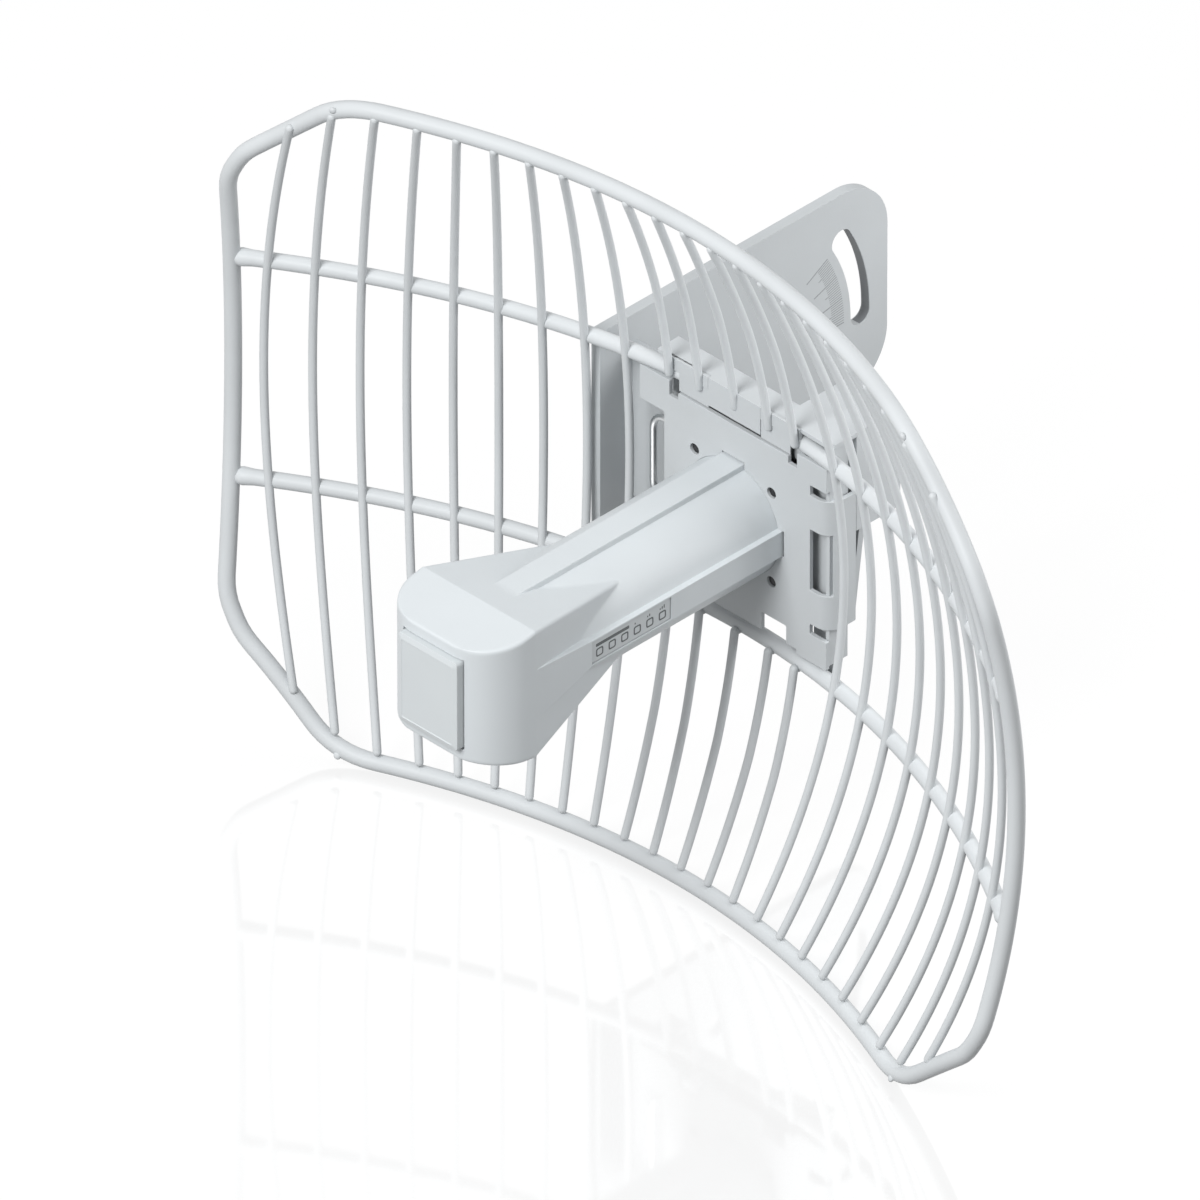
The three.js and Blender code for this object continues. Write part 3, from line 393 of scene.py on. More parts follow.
def fillet(points, radius, steps=5):
    """A closed outline of 2-D points with each corner rounded; radius is one or one per corner."""
    count = len(points)
    radii = [radius] * count if isinstance(radius, (int, float)) else radius
    rounded = []
    for i, corner in enumerate(points):
        corner = Vector(corner)
        before = Vector(points[i - 1]) - corner
        after = Vector(points[(i + 1) % count]) - corner
        reach = min(radii[i], before.length / 2.01, after.length / 2.01)
        if reach <= 0:
            rounded.append(tuple(corner))
            continue
        enter = corner + before.normalized() * reach
        leave = corner + after.normalized() * reach
        rounded += [tuple(point) for point in bend(enter, corner, leave, steps)]
    return rounded


def rectangle(x0, x1, y0, y1):
    return [(x0, y0), (x1, y0), (x1, y1), (x0, y1)]


def circle(radius, centre=(0, 0), steps=48, start=0.0, sweep=2 * math.pi):
    whole = abs(sweep - 2 * math.pi) < 1e-9
    count = steps if whole else steps + 1
    return [
        (centre[0] + radius * math.cos(start + sweep * k / steps),
         centre[1] + radius * math.sin(start + sweep * k / steps))
        for k in range(count)
    ]


def sheet(outline, holes, thickness, edge=0.25):
    """A flat sheet in the XY plane with rounded-over edges, centred on z = 0."""
    curve = bpy.data.curves.new("outline", "CURVE")
    curve.dimensions = "2D"
    curve.fill_mode = "BOTH"
    curve.extrude = thickness / 2 - edge
    curve.bevel_depth = edge
    curve.bevel_resolution = 2
    curve.offset = -edge
    for loop in (outline, *holes):
        spline = curve.splines.new("POLY")
        spline.points.add(len(loop) - 1)
        spline.points.foreach_set("co", [c for x, y in loop for c in (x, y, 0, 1)])
        spline.use_cyclic_u = True
    holder = placed("outline", curve)
    made = evaluated(holder)
    bpy.data.objects.remove(holder)
    bpy.data.curves.remove(curve)
    return merged(made)


def round_edges(bm, width, segments, chosen=lambda edge: True):
    """Rounds the chosen edges where faces meet at more than SHARP_ANGLE."""
    edges = [
        e for e in bm.edges
        if len(e.link_faces) == 2 and e.calc_face_angle(0) > SHARP_ANGLE and chosen(e)
    ]
    bmesh.ops.bevel(
        bm, geom=edges, offset=width, offset_type="OFFSET", segments=segments, profile=0.5,
        affect="EDGES", clamp_overlap=True,
    )


def softened(node, width, *, fold=None, fold_width=1.0):
    """A copy of a CAD node's mesh in drawing millimetres with its sharp edges rounded."""
    bm = bmesh.new()
    bm.from_mesh(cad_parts[node].data)
    bmesh.ops.transform(bm, matrix=TO_ROW.inverted(), verts=bm.verts)
    bmesh.ops.remove_doubles(bm, verts=bm.verts, dist=1e-3)
    bmesh.ops.dissolve_limit(
        bm, angle_limit=math.radians(1), verts=bm.verts, edges=bm.edges,
    )
    if fold:
        round_edges(bm, fold_width, 5, fold)
    round_edges(bm, width, 2)
    return to_mesh(bm)


def block(x0, x1, y0, y1, z0, z1):
    """A plain box between two values on each axis."""
    corners = [(x, y, z) for x in (x0, x1) for y in (y0, y1) for z in (z0, z1)]
    return mesh_from(corners, BOX_FACES)


def cut_away(mesh, cutters):
    """The mesh less some cutting bodies."""
    target = placed("target", mesh)
    tool = placed("tool", joined(cutters))
    boolean = target.modifiers.new("cut", "BOOLEAN")
    boolean.operation = "DIFFERENCE"
    boolean.solver = "EXACT"
    boolean.object = tool
    result = evaluated(target)
    for item in (target, tool):
        data = item.data
        bpy.data.objects.remove(item)
        bpy.data.meshes.remove(data)
    return result


# ---- Grid ----

FOCAL_LENGTH = 132.5
DISH = 4 * FOCAL_LENGTH
VERTEX_Y = -0.66
GRID_Z = -1.8                    # the grid's middle lies a little below the feed's axis
WIRE_R = 1.45
WIRE_DEPTH = 2.45                # the wires are sunk this far towards the bars they are welded to
CUT_WIRE_DEPTH = 0.9             # where a cut wire ends it is sunk less, to pass the hub's band
CUT_WIRE_REACH = 40              # and over this height it sinks to the depth of the others
ROD_R = 2.75
RIM_R = 2.95
ROD_DEPTH = 4.55
RIM_DEPTH = 4.8
ROD_Z = 42.7
OUTER_WIRE = 11
CUT_WIRE = 2
WIRE_PITCH = 15.74
INNER_END_X = 28.4               # the outermost cut wires end closer in than their pitch
TIP_PITCH = 12.26
TIP_FAN = 0.063
TIP_Z = 126
CORNER_TIP_Z = 122.5             # the wires at the rim's corners
TIP_SHORT = 1.8                  # the upper tips end on the inner half of the rim
OUTER_TIP_Z = 112.2
RIM_HALF_WIDTH = 175.6
RIM_SIDE_BOW = 6.6
RIM_TOP = (125.6, 123.7)         # the rim's upper and lower corners, reaching further down
RIM_BOTTOM = (127.2, -128.2)
RIM_UPPER_CORNER_Z = 85
RIM_LOWER_CORNER_Z = -90.6
RIM_BEND = 13
ROD_END_INSET = 1.8              # the rods' ends stop this far inside the rim's inner side
ROD_FLARE = 0.4                  # and swell by this much where they are welded to it
ROD_FLARE_FADE = 0.8
UPPER_WELD_DROP = 1.5
WELD_SIZE = (1.35, 1.5, 0.9)     # half width, half length and half height of a bead


def dish_back(x, z):
    """The direction that points straight back from the dish at (x, z)."""
    return Vector((2 * x / DISH, 1, 2 * z / DISH)).normalized()


def dish_point(x, z, depth=0.0):
    """A point of the dish, moved back from its surface by depth."""
    point = Vector((x, VERTEX_Y - (x * x + z * z) / DISH, z + GRID_Z))
    return point + dish_back(x, z) * depth


def across_dish(length):
    """The x that lies a given length round the dish's horizontal parabola."""
    x = length
    for _ in range(5):
        slope = 2 * x / DISH
        reached = DISH / 4 * (slope * math.hypot(1, slope) + math.asinh(slope))
        x -= (reached - length) / math.hypot(1, slope)
    return x


def wire_tip_z(number):
    return {OUTER_WIRE: OUTER_TIP_Z, OUTER_WIRE - 1: CORNER_TIP_Z}.get(abs(number), TIP_Z)


def wire_x(number, z):
    """Where a wire stands at a height: upright between the rods, leaning in towards its tips."""
    rod_x = across_dish(number * WIRE_PITCH)
    if abs(number) == CUT_WIRE:
        rod_x = math.copysign(INNER_END_X, number)
    tip_x = number * TIP_PITCH * (1 + TIP_FAN * (number / OUTER_WIRE) ** 4)
    lean = (z * z - ROD_Z ** 2) / (wire_tip_z(number) ** 2 - ROD_Z ** 2)
    return rod_x + (tip_x - rod_x) * lean


def wire_depth(number, z):
    """The cut wires come forward near the hub, to pass in front of its folded top."""
    if abs(number) > CUT_WIRE:
        return WIRE_DEPTH
    share = min(max((abs(z) - ROD_Z) / CUT_WIRE_REACH, 0.0), 1.0)
    return CUT_WIRE_DEPTH + (WIRE_DEPTH - CUT_WIRE_DEPTH) * share


def wire_mesh(number, bottom_z, top_z):
    """A wire between two heights, its dome ends included."""
    low, high = bottom_z + WIRE_R, top_z - WIRE_R
    steps = round((high - low) / 3)
    heights = [low + (high - low) * i / steps for i in range(steps + 1)]
    return tube([dish_point(wire_x(number, z), z, wire_depth(number, z)) for z in heights],
                WIRE_R, 16)


def rim_outline():
    """The rim seen from the front, with its corners rounded and its upright sides bowed."""
    side_x = RIM_HALF_WIDTH - RIM_SIDE_BOW
    (top_x, top_z), (bottom_x, bottom_z) = RIM_TOP, RIM_BOTTOM
    corners = [Vector(c) for c in (
        (-top_x, top_z), (top_x, top_z), (side_x, RIM_UPPER_CORNER_Z),
        (side_x, RIM_LOWER_CORNER_Z), (bottom_x, bottom_z), (-bottom_x, bottom_z),
        (-side_x, RIM_LOWER_CORNER_Z), (-side_x, RIM_UPPER_CORNER_Z),
    )]
    points = []
    for i, corner in enumerate(corners):
        before = corners[i - 1]
        after = corners[(i + 1) % len(corners)]
        enter = corner + (before - corner).normalized() * RIM_BEND
        leave = corner + (after - corner).normalized() * RIM_BEND
        points += bend(enter, corner, leave, 8)
        straight = after + (corner - after).normalized() * RIM_BEND - leave
        steps = max(2, round(straight.length / 5))
        points.extend(leave + straight * k / steps for k in range(1, steps))
    middle = (RIM_UPPER_CORNER_Z + RIM_LOWER_CORNER_Z) / 2
    reach = (RIM_UPPER_CORNER_Z - RIM_LOWER_CORNER_Z) / 2
    for point in points:
        bow = RIM_SIDE_BOW * max(1 - ((point.y - middle) / reach) ** 2, 0)
        point.x += math.copysign(bow, point.x)
    return points


def weld(centre, along, across, normal):
    """A small bead of weld between two bars: an egg flattened along its normal."""
    bm = bmesh.new()
    bmesh.ops.create_uvsphere(bm, u_segments=14, v_segments=8, radius=1)
    turn = Matrix((across, along, normal)).transposed().to_4x4()
    scale = Matrix.Diagonal((*WELD_SIZE, 1))
    bmesh.ops.transform(
        bm, matrix=Matrix.Translation(centre) @ turn @ scale, verts=bm.verts)
    return to_mesh(bm)


def wire_weld(number, z, bar_depth, bar_r):
    """The bead that fills the joint between a wire and the bar behind it."""
    x = wire_x(number, z)
    back = dish_back(x, z)
    along = (dish_point(wire_x(number, z + 1), z + 1) - dish_point(x, z)).normalized()
    across = along.cross(back).normalized()
    joint = (WIRE_DEPTH + WIRE_R + bar_depth - bar_r) / 2
    return weld(dish_point(x, z, joint), along, across, back)


def rim_weld_height(number, side):
    """The height at which a wire crosses the rim's middle line."""
    corner_x, rail_z = RIM_TOP if side > 0 else RIM_BOTTOM
    if abs(number) < OUTER_WIRE:
        return rail_z
    corner_z = RIM_UPPER_CORNER_Z if side > 0 else RIM_LOWER_CORNER_Z
    slope = (rail_z - corner_z) / (RIM_HALF_WIDTH - RIM_SIDE_BOW - corner_x)
    z = side * OUTER_TIP_Z
    for _ in range(6):
        z = rail_z - slope * (abs(wire_x(number, z)) - corner_x)
    return side * min(abs(z), OUTER_TIP_Z - WIRE_R)


def grid_piece(node, mesh):
    piece(f"grid_{node}", mesh, POWDER, stands_for=(node,))


def build_grid():
    rim = tube([dish_point(p.x, p.y, RIM_DEPTH) for p in rim_outline()], RIM_R, 24, closed=True)
    grid_piece("rim", rim)
    half_span = RIM_HALF_WIDTH - RIM_R - ROD_END_INSET
    for side, label in ((1, "upper"), (-1, "lower")):
        steps = 110
        spots = [half_span * (2 * k / steps - 1) for k in range(steps + 1)]
        line = [dish_point(x, side * ROD_Z, ROD_DEPTH) for x in spots]
        flare = [ROD_R + ROD_FLARE * math.exp(-(half_span - abs(x)) / ROD_FLARE_FADE)
                 for x in spots]
        grid_piece(f"rod_{label}", tube(line, flare, 24))
    welds = []
    for number in range(-OUTER_WIRE, OUTER_WIRE + 1):
        node = f"wire_{number + OUTER_WIRE + 1:02d}"
        tip = wire_tip_z(number)
        if abs(number) > CUT_WIRE:
            grid_piece(node, wire_mesh(number, -tip, tip - TIP_SHORT))
        else:
            grid_piece(f"{node}_upper", wire_mesh(number, ROD_Z, tip - TIP_SHORT))
            grid_piece(f"{node}_lower", wire_mesh(number, -tip, -ROD_Z))
        for side in (-1, 1):
            rod_z = ROD_Z if abs(number) > CUT_WIRE else ROD_Z + WIRE_R
            welds.append(wire_weld(number, side * rod_z, ROD_DEPTH, ROD_R))
            rim_z = rim_weld_height(number, side) - (UPPER_WELD_DROP if side > 0 else 0)
            welds.append(wire_weld(number, rim_z, RIM_DEPTH, RIM_R))
    piece("grid_welds", joined(welds), POWDER)


build_grid()


# ---- Hub ----

SHEET_T = 1.6
GAP = 0.3                        # clearance between pieces that touch
PLATE_HALF_WIDTH = 42.5
PLATE_HALF_HEIGHT = 40.3
PLATE_BEND_R = 6.0               # outside radius of the fold to the side flange
FLANGE_REAR_Y = 7.6
FLANGE_HALF_HEIGHT = 25.2
RELIEF_X = 35
WINDOW_HALF_HEIGHT = 12
WINDOW_END_X = 43.2
SCREW_OFFSET = 17.5
BODY_R = 21
RIDGE_R = 22.5
RIDGE_HALF_WIDTH = 5
WING_FACE_X = -61.4
WING_T = 4
PIVOT = (51, -10)
BOLT_HOLE_R = 4.4
ARC_R = 65
ARC_SWEEP = math.radians(30)
SCALE_OUTER_R = 57.5
SCALE_INNER_R = {10: 46.5, 5: 50.5, 1: 52.0}       # for every tenth, fifth and single degree
# how far the slot's painted-shade liner stays inside the wing's two faces
SLOT_SHADE_INSET = 0.35
FOLDED_HALF_HEIGHT = 27          # the plate's corners above and below this stay flat
PLATE_TOP_Z = 38.8               # the upper corners stop short of the rod
STEP_HALF_WIDTH = 25
STEP_Z = 35.8                    # the plate's top edge between its notches
LIP_ZONE = (12.2, -3.3, 36.5)    # the lip lies within |x|, in front of y and above z
LIP_DRAWN_BACK = 1.1             # how far it lies behind the CAD's
LIP_FILL = (-2.3, 2.3, -3.88, -2.4, 37.3, 48.1)    # closes the slot in the lip
BAND_INNER_X = 11.9              # the fold over the upper rod, beside the lip
BAND_HALF_WIDTH = 29.5
BAND_Y = (-3.9, -2.4)
BAND_BOTTOM_Z = 43.6
BAND_TOP_Z = 48.2
STEP_PANEL_HALF_WIDTH = 25.2     # a panel set back between that fold and the plate's top edge
STEP_PANEL_Y = (-3.6, -3.2)
STEP_PANEL_Z = (36.3, 43.8)
NOTCH_BACK = (24, 29.5, -0.6, 0.4, 33, 41)         # the wall behind the plate's right notch
WINDOW_BACK = (27, 40.6, 0.6, 1.8, -30, 30)        # and behind the windows at its right edge
WEB_END_X = 41                   # the web's right end, below WEB_SLANT_Z, slants inwards
WEB_Y = (10.5, 14.5)
WEB_SLANT_Z = -28
WEB_END_SLANT = 4.5


def plate_outline():
    """The feed plate unfolded, as corners in (x, z) from its top left, clockwise."""
    fold = PLATE_HALF_WIDTH + SHEET_T - PLATE_BEND_R
    middle_r = PLATE_BEND_R - SHEET_T / 2
    flange_x = fold + math.pi / 2 * middle_r + FLANGE_REAR_Y - PLATE_FRONT_Y - PLATE_BEND_R
    right = PLATE_HALF_WIDTH
    bottom = -PLATE_HALF_HEIGHT
    top = PLATE_TOP_Z
    step = STEP_HALF_WIDTH
    upper = [(-right, top), (-29, top), (-29, 33), (-step, 33), (-step, STEP_Z),
             (step, STEP_Z), (step, 33), (29, 33), (29, top), (right, top)]
    side = [(right, 29.3), (RELIEF_X, 29.3), (RELIEF_X, 25.3), (flange_x, FLANGE_HALF_HEIGHT),
            (flange_x, -FLANGE_HALF_HEIGHT), (RELIEF_X, -25.3), (RELIEF_X, -29.3), (right, -29.3)]
    lower = [(right, bottom), (29, bottom), (29, -38.4), (24.3, -38.4), (24.3, -31.5),
             (13.1, -31.5), (13.1, -38.4)]
    lower += [(-x, z) for x, z in reversed(lower)]
    finger = [(-right, -25.5), (-31.3, -25.5), (-31.3, 25.5), (-right, 25.5)]
    return upper + side + lower + finger


def feed_outline(clearance, slit, steps=14):
    """The feed's cross-section: a circle with four ridges, which get more room than the circle."""
    radius = BODY_R + clearance
    reach = RIDGE_R + slit
    half = RIDGE_HALF_WIDTH + clearance
    edge = math.asin(half / radius)
    points = []
    for quarter in range(4):
        turn = Matrix.Rotation(quarter * math.pi / 2, 2)
        local = [(reach, -half), (reach, half)]
        local += circle(radius, steps=steps, start=edge, sweep=math.pi / 2 - 2 * edge)
        points += [tuple(turn @ Vector(p)) for p in local]
    return points


def fold_back(mesh):
    """Bends the plate's right edge back and stands the sheet upright, front face at its y."""
    fold = PLATE_HALF_WIDTH + SHEET_T - PLATE_BEND_R
    middle_r = PLATE_BEND_R - SHEET_T / 2
    bend_length = math.pi / 2 * middle_r
    bm = taken_over(mesh)
    for k in range(13):
        bmesh.ops.bisect_plane(
            bm, geom=bm.verts[:] + bm.edges[:] + bm.faces[:],
            plane_co=(fold + bend_length * k / 12, 0, 0), plane_no=(1, 0, 0), dist=1e-5)
    for vertex in bm.verts:
        x, z, out = vertex.co        # out is towards the front
        past = x - fold if abs(z) < FOLDED_HALF_HEIGHT else 0
        turn = min(max(past / middle_r, 0), math.pi / 2)
        radius = middle_r + out
        new_x = (min(x, fold) if past else x) + radius * math.sin(turn)
        new_y = PLATE_FRONT_Y + PLATE_BEND_R - radius * math.cos(turn)
        new_y += max(past - bend_length, 0)
        vertex.co = (new_x, new_y, z)
    return to_mesh(bm)


def build_plate():
    screw_holes = [
        circle(2, (x * SCREW_OFFSET, z * SCREW_OFFSET), 28) for x in (-1, 1) for z in (-1, 1)]
    window = fillet(
        rectangle(RELIEF_X, WINDOW_END_X, -WINDOW_HALF_HEIGHT, WINDOW_HALF_HEIGHT), 0.5)
    flat = sheet(
        fillet(plate_outline(), 0.5, 3), [feed_outline(0.08, 0.7), window, *screw_holes], SHEET_T,
        0.15)
    piece("hub_plate", fold_back(flat), BRACKET, stands_for=("feed_plate",),
          flats=True)


def is_fold(edge):
    """Edges where the bracket's sheet is folded: long ones along X off the wing."""
    a, b = (v.co for v in edge.verts)
    lengthwise = abs((a - b).x) > 8 and (a - b).length - abs((a - b).x) < 0.01
    return lengthwise and a.x > WING_FACE_X + 1 and b.x > WING_FACE_X + 1


def fit_bracket(mesh):
    """Draws the lip back against the rod and slants the web's right end."""
    lip_x, lip_y, lip_z = LIP_ZONE
    for vertex in mesh.vertices:
        x, y, z = vertex.co
        if abs(x) < lip_x and y < lip_y and z > lip_z:
            vertex.co.y = y + LIP_DRAWN_BACK
        elif x > WEB_END_X and WEB_Y[0] < y < WEB_Y[1] and z < WEB_SLANT_Z:
            vertex.co.x -= WEB_END_SLANT


def build_bracket():
    bracket = softened("rear_bracket", 0.3, fold=is_fold)
    fit_bracket(bracket)
    sheets = [block(*LIP_FILL)]
    for outer_x, spans in ((BAND_HALF_WIDTH, (*BAND_Y, BAND_BOTTOM_Z, BAND_TOP_Z)),
                           (STEP_PANEL_HALF_WIDTH, (*STEP_PANEL_Y, *STEP_PANEL_Z))):
        for x0, x1 in ((-outer_x, -BAND_INNER_X), (BAND_INNER_X, outer_x)):
            sheets.append(block(x0, x1, *spans))
    sheets += [block(*WINDOW_BACK), block(*NOTCH_BACK)]
    piece("hub_bracket", joined([bracket, *sheets]), BRACKET,
          stands_for=("rear_bracket",), flats=True)


def build_slot_painted_shade():
    """A thin dark liner on the outer wall of the elevation slot: painted shade where the slot's
    inside lies in shade.
    """
    wall = [((ARC_R, 0), BOLT_HOLE_R, math.radians(-90 + 90 * k / 8)) for k in range(9)]
    wall += [((0, 0), ARC_R + BOLT_HOLE_R, ARC_SWEEP * k / 24) for k in range(1, 25)]
    vertices = []
    for (y, z), radius, turn in wall:
        for inset in (0.02, 0.12):
            for x in (WING_FACE_X - WING_T + SLOT_SHADE_INSET, WING_FACE_X - SLOT_SHADE_INSET):
                vertices.append((x, PIVOT[0] + y + (radius - inset) * math.cos(turn),
                                 PIVOT[1] + z + (radius - inset) * math.sin(turn)))
    faces = [(0, 1, 3, 2)]
    last = 4 * (len(wall) - 1)
    for i in range(0, last, 4):
        j = i + 4
        faces += [(i, i + 1, j + 1, j), (i + 2, j + 2, j + 3, i + 3),
                  (i, j, j + 2, i + 2), (i + 1, i + 3, j + 3, j + 1)]
    faces.append((last, last + 2, last + 3, last + 1))
    piece("elevation_slot_painted_shade", to_mesh(taken_over(mesh_from(vertices, faces))), SLOT_PAINTED_SHADE)


def scale_mark(angle, inner, outer, width):
    """A radial line on the wing's face, a flat bar standing just proud of it."""
    y, z = math.cos(angle), math.sin(angle)
    across = Vector((0, -z, y)) * width / 2
    face_x = WING_FACE_X - 0.02
    corners = []
    for x in (face_x, WING_FACE_X + 0.03):
        for radius in (inner, outer):
            for sign in (-1, 1):
                spot = Vector((x, PIVOT[0] + radius * y, PIVOT[1] + radius * z)) + across * sign
                corners.append(spot)
    return to_mesh(taken_over(mesh_from(corners, BOX_FACES)))


def build_scale():
    """A degree scale beside the elevation slot."""
    marks = []
    for degree in range(31):
        step = next(step for step in SCALE_INNER_R if degree % step == 0)
        marks.append(scale_mark(math.radians(degree), SCALE_INNER_R[step], SCALE_OUTER_R,
                                0.42 if step == 10 else 0.3))
    piece("elevation_scale", joined(marks), SCALE_INK, sharp=20)


def build_clip():
    """The release clip: one bent wire with two cranked arms."""
    clip_r, y = 1.2, 2.5
    arm_z, tip_z, leg_x, bend = 16, 12, -43, 5.5
    crank_x, tip_x = -27, -15.9
    half = []
    corner = Vector((leg_x, arm_z))
    for k in range(13):
        turn = math.pi / 2 * k / 12
        spot = corner + Vector((bend, -bend)) + bend * Vector((-math.cos(turn), math.sin(turn)))
        half.append((spot.x, y, spot.y))
    arm_end = leg_x + bend
    for k in range(1, 15):
        t = k / 14
        ease = t * t * (3 - 2 * t)
        half.append((arm_end + (crank_x - arm_end) * t, y, arm_z + (tip_z - arm_z) * ease))
    half += [(crank_x + (tip_x - clip_r - crank_x) * k / 5, y, tip_z) for k in range(1, 6)]
    leg = [(leg_x, y, z) for z in np.linspace(bend - arm_z, arm_z - bend, 9)[1:-1]]
    lower = [(x, yy, -z) for x, yy, z in reversed(half)]
    piece("hub_clip", tube(lower + leg + half, clip_r, 20), STEEL, body="clip",
          stands_for=("release_clip",))


def build_screws():
    for i, (side_x, side_z) in enumerate(((-1, 1), (1, 1), (1, -1), (-1, -1))):
        centre = (side_x * SCREW_OFFSET, side_z * SCREW_OFFSET)
        dome = [(3.0 * math.cos(a), 6.6 + 1.0 * math.sin(a))
                for a in (math.pi / 2 * k / 8 for k in range(9))]
        dome[-1] = (0, dome[-1][1])
        threads = []
        for k in range(18):
            y = -3.5 + 0.5 * k
            threads += [(1.75, y), (1.5, y + 0.25)]
        profile = [(0, -3.7), (1.4, -3.7), *threads, (1.6, 5.5), (2.85, 5.5), (3.0, 5.65), *dome]
        screw = lathe(profile, 36, centre)
        x, z = centre
        cross = [block(x - 1.9, x + 1.9, 6.7, 8, z - 0.4, z + 0.4),
                 block(x - 0.4, x + 0.4, 6.7, 8, z - 1.9, z + 1.9)]
        for tool in cross:
            screw = cut_away(screw, [tool])
        piece(f"hub_screw_{i + 1}", screw, DARK_STEEL,
              stands_for=(f"socket_screw_{i + 1}",))


def build_socket():
    """The socket with a rear rim that closes the gap to the bracket's web."""
    rim = lathe([(23.9, 9.1), (29.2, 9.1), (29.5, 9.4), (29.5, 10.7), (29.2, 11.0),
                 (23.9, 11.0), (23.9, 9.1)], 96)
    piece("hub_socket", joined([softened("feed_socket", 0.3), merged(rim)]), SOCKET,
          stands_for=("feed_socket",), flats=True)


build_plate()
build_bracket()
build_slot_painted_shade()
build_scale()
build_clip()
build_screws()
build_socket()


# ---- Feed housing ----

FEED_REAR_Y = 13
RIDGE_REAR_Y = 9.5
HEAD_FRONT_Y = -141
HEAD_BACK_Y = -120
TAPER_END_Y = -69.5
TAPER_END_HALF = 14.8
HEAD_HALF_WIDTH = 26
HEAD_HALF_HEIGHT = 25
HEAD_FRONT_HALF_HEIGHT = 21.7
HEAD_CORNER_R = 17
HEAD_WALL = 2.6
BORE_R = 18.5
LABEL_FRONT_Y = -91
LABEL_REAR_Y = -55
LABEL_HALF_HEIGHT = 4.4
LABEL_SEAT_X = 21.3
LABEL_T = 0.6
LED_COUNT = 6
LED_PITCH = 5.7
LED_FIRST_Y = -87.3
FRONT_EDGE_R = 0.9
HEAD_SOFTNESS = 2.2              # how far the head's long edges are rounded
NOTHING = 1.0                    # a reach so short that the shape stays inside the others
END_EDGE_R = 0.8                 # rounding of the ridges' and the body's rear ends


def lerp(a, b, t):
    return a + (b - a) * min(max(t, 0), 1)


def smooth_max(a, b, k):
    if k <= 0:
        return max(a, b)
    h = max(k - abs(a - b), 0) / k
    return max(a, b) + h * h * k / 4


def smooth_min(a, b, k):
    return -smooth_max(-a, -b, k)


def edge_drop(depth, radius):
    """How far a rounded edge has drawn in, at a depth from the shape's end."""
    if depth >= radius:
        return 0.0
    return radius - math.sqrt(max(radius ** 2 - (radius - depth) ** 2, 0))


def head_halves(y):
    """The head's half width and half height at y, down to where the round body swallows it."""
    if y >= HEAD_BACK_Y:
        share = (y - HEAD_BACK_Y) / (TAPER_END_Y - HEAD_BACK_Y)
        if share > 1.25:
            return NOTHING, NOTHING
        half = TAPER_END_HALF
        return (HEAD_HALF_WIDTH + (half - HEAD_HALF_WIDTH) * share,
                HEAD_HALF_HEIGHT + (half - HEAD_HALF_HEIGHT) * share)
    depth = y - HEAD_FRONT_Y
    width = HEAD_HALF_WIDTH - edge_drop(depth, HEAD_CORNER_R)
    height = lerp(HEAD_FRONT_HALF_HEIGHT, HEAD_HALF_HEIGHT, depth / (HEAD_BACK_Y - HEAD_FRONT_Y))
    return width, height - edge_drop(depth, FRONT_EDGE_R)


def box_radius(angle, half_x, half_z, k):
    """How far a ray reaches in a rectangle with rounded corners."""
    c, s = max(math.cos(angle), 1e-6), max(math.sin(angle), 1e-6)
    return smooth_min(half_x / c, half_z / s, k)


def side_ridge(y):
    """The side ridge's reach and half width: it widens into the head."""
    if y < HEAD_BACK_Y - 0.5:
        return NOTHING, NOTHING
    share = (LABEL_FRONT_Y - y) / (LABEL_FRONT_Y - HEAD_BACK_Y)
    return lerp(RIDGE_R, HEAD_HALF_WIDTH, share), lerp(RIDGE_HALF_WIDTH, 10, share)


def ridge_end(y):
    """1 along the ridges, falling to 0 over a small radius at their rear end."""
    return 1 - edge_drop(RIDGE_REAR_Y - y, END_EDGE_R) / END_EDGE_R


def outer_radius(angle, y):
    """The housing's outside in a direction of the first quadrant."""
    radius = BODY_R - edge_drop(FEED_REAR_Y - y, END_EDGE_R)
    half_x, half_z = head_halves(y)
    blend = 0.35 * lerp(0, 1, (y - HEAD_BACK_Y) / 9)
    if y < HEAD_BACK_Y - 0.5:
        return box_radius(angle, half_x, half_z, HEAD_SOFTNESS)
    radius = smooth_max(radius, box_radius(angle, half_x, half_z, HEAD_SOFTNESS), blend)
    reach, half = side_ridge(y)
    grow = ridge_end(y)
    if grow > 0:
        side_reach = BODY_R + (reach - BODY_R) * grow
        top_reach = BODY_R + (RIDGE_R - BODY_R) * grow
        radius = smooth_max(radius, box_radius(angle, side_reach, half, 0.8), blend)
        radius = smooth_max(
            radius, box_radius(math.pi / 2 - angle, top_reach, RIDGE_HALF_WIDTH, 0.8), blend)
    return radius


def inner_radius(angle, y):
    """The bore, and the wider chamber in the head."""
    if y > HEAD_BACK_Y - 1:
        return BORE_R
    half_x, half_z = head_halves(max(y - 2, HEAD_FRONT_Y + FRONT_EDGE_R))
    return max(box_radius(angle, half_x - HEAD_WALL, half_z - HEAD_WALL, 4.0), 8)


def spread(start, end, count, crowd):
    """Numbers from start towards end, crowded near both, with the end left out."""
    return [
        start + (end - start) * ((1 - crowd) * t + crowd * (0.5 - 0.5 * math.cos(math.pi * t)))
        for t in (k / count for k in range(count))
    ]


def quadrant_angles(y):
    """Directions in the first quadrant that follow the section's edges."""
    reach, half = side_ridge(max(y, HEAD_BACK_Y))
    half_x, half_z = head_halves(min(y, TAPER_END_Y))
    marks = [0, math.atan2(half, reach), math.atan2(half_z, half_x),
             math.pi / 2 - math.atan2(RIDGE_HALF_WIDTH, RIDGE_R), math.pi / 2]
    angles = []
    for start, end, count in zip(marks, marks[1:], (12, 26, 26, 12)):
        angles += spread(start, end, count, 0.9)
    return angles


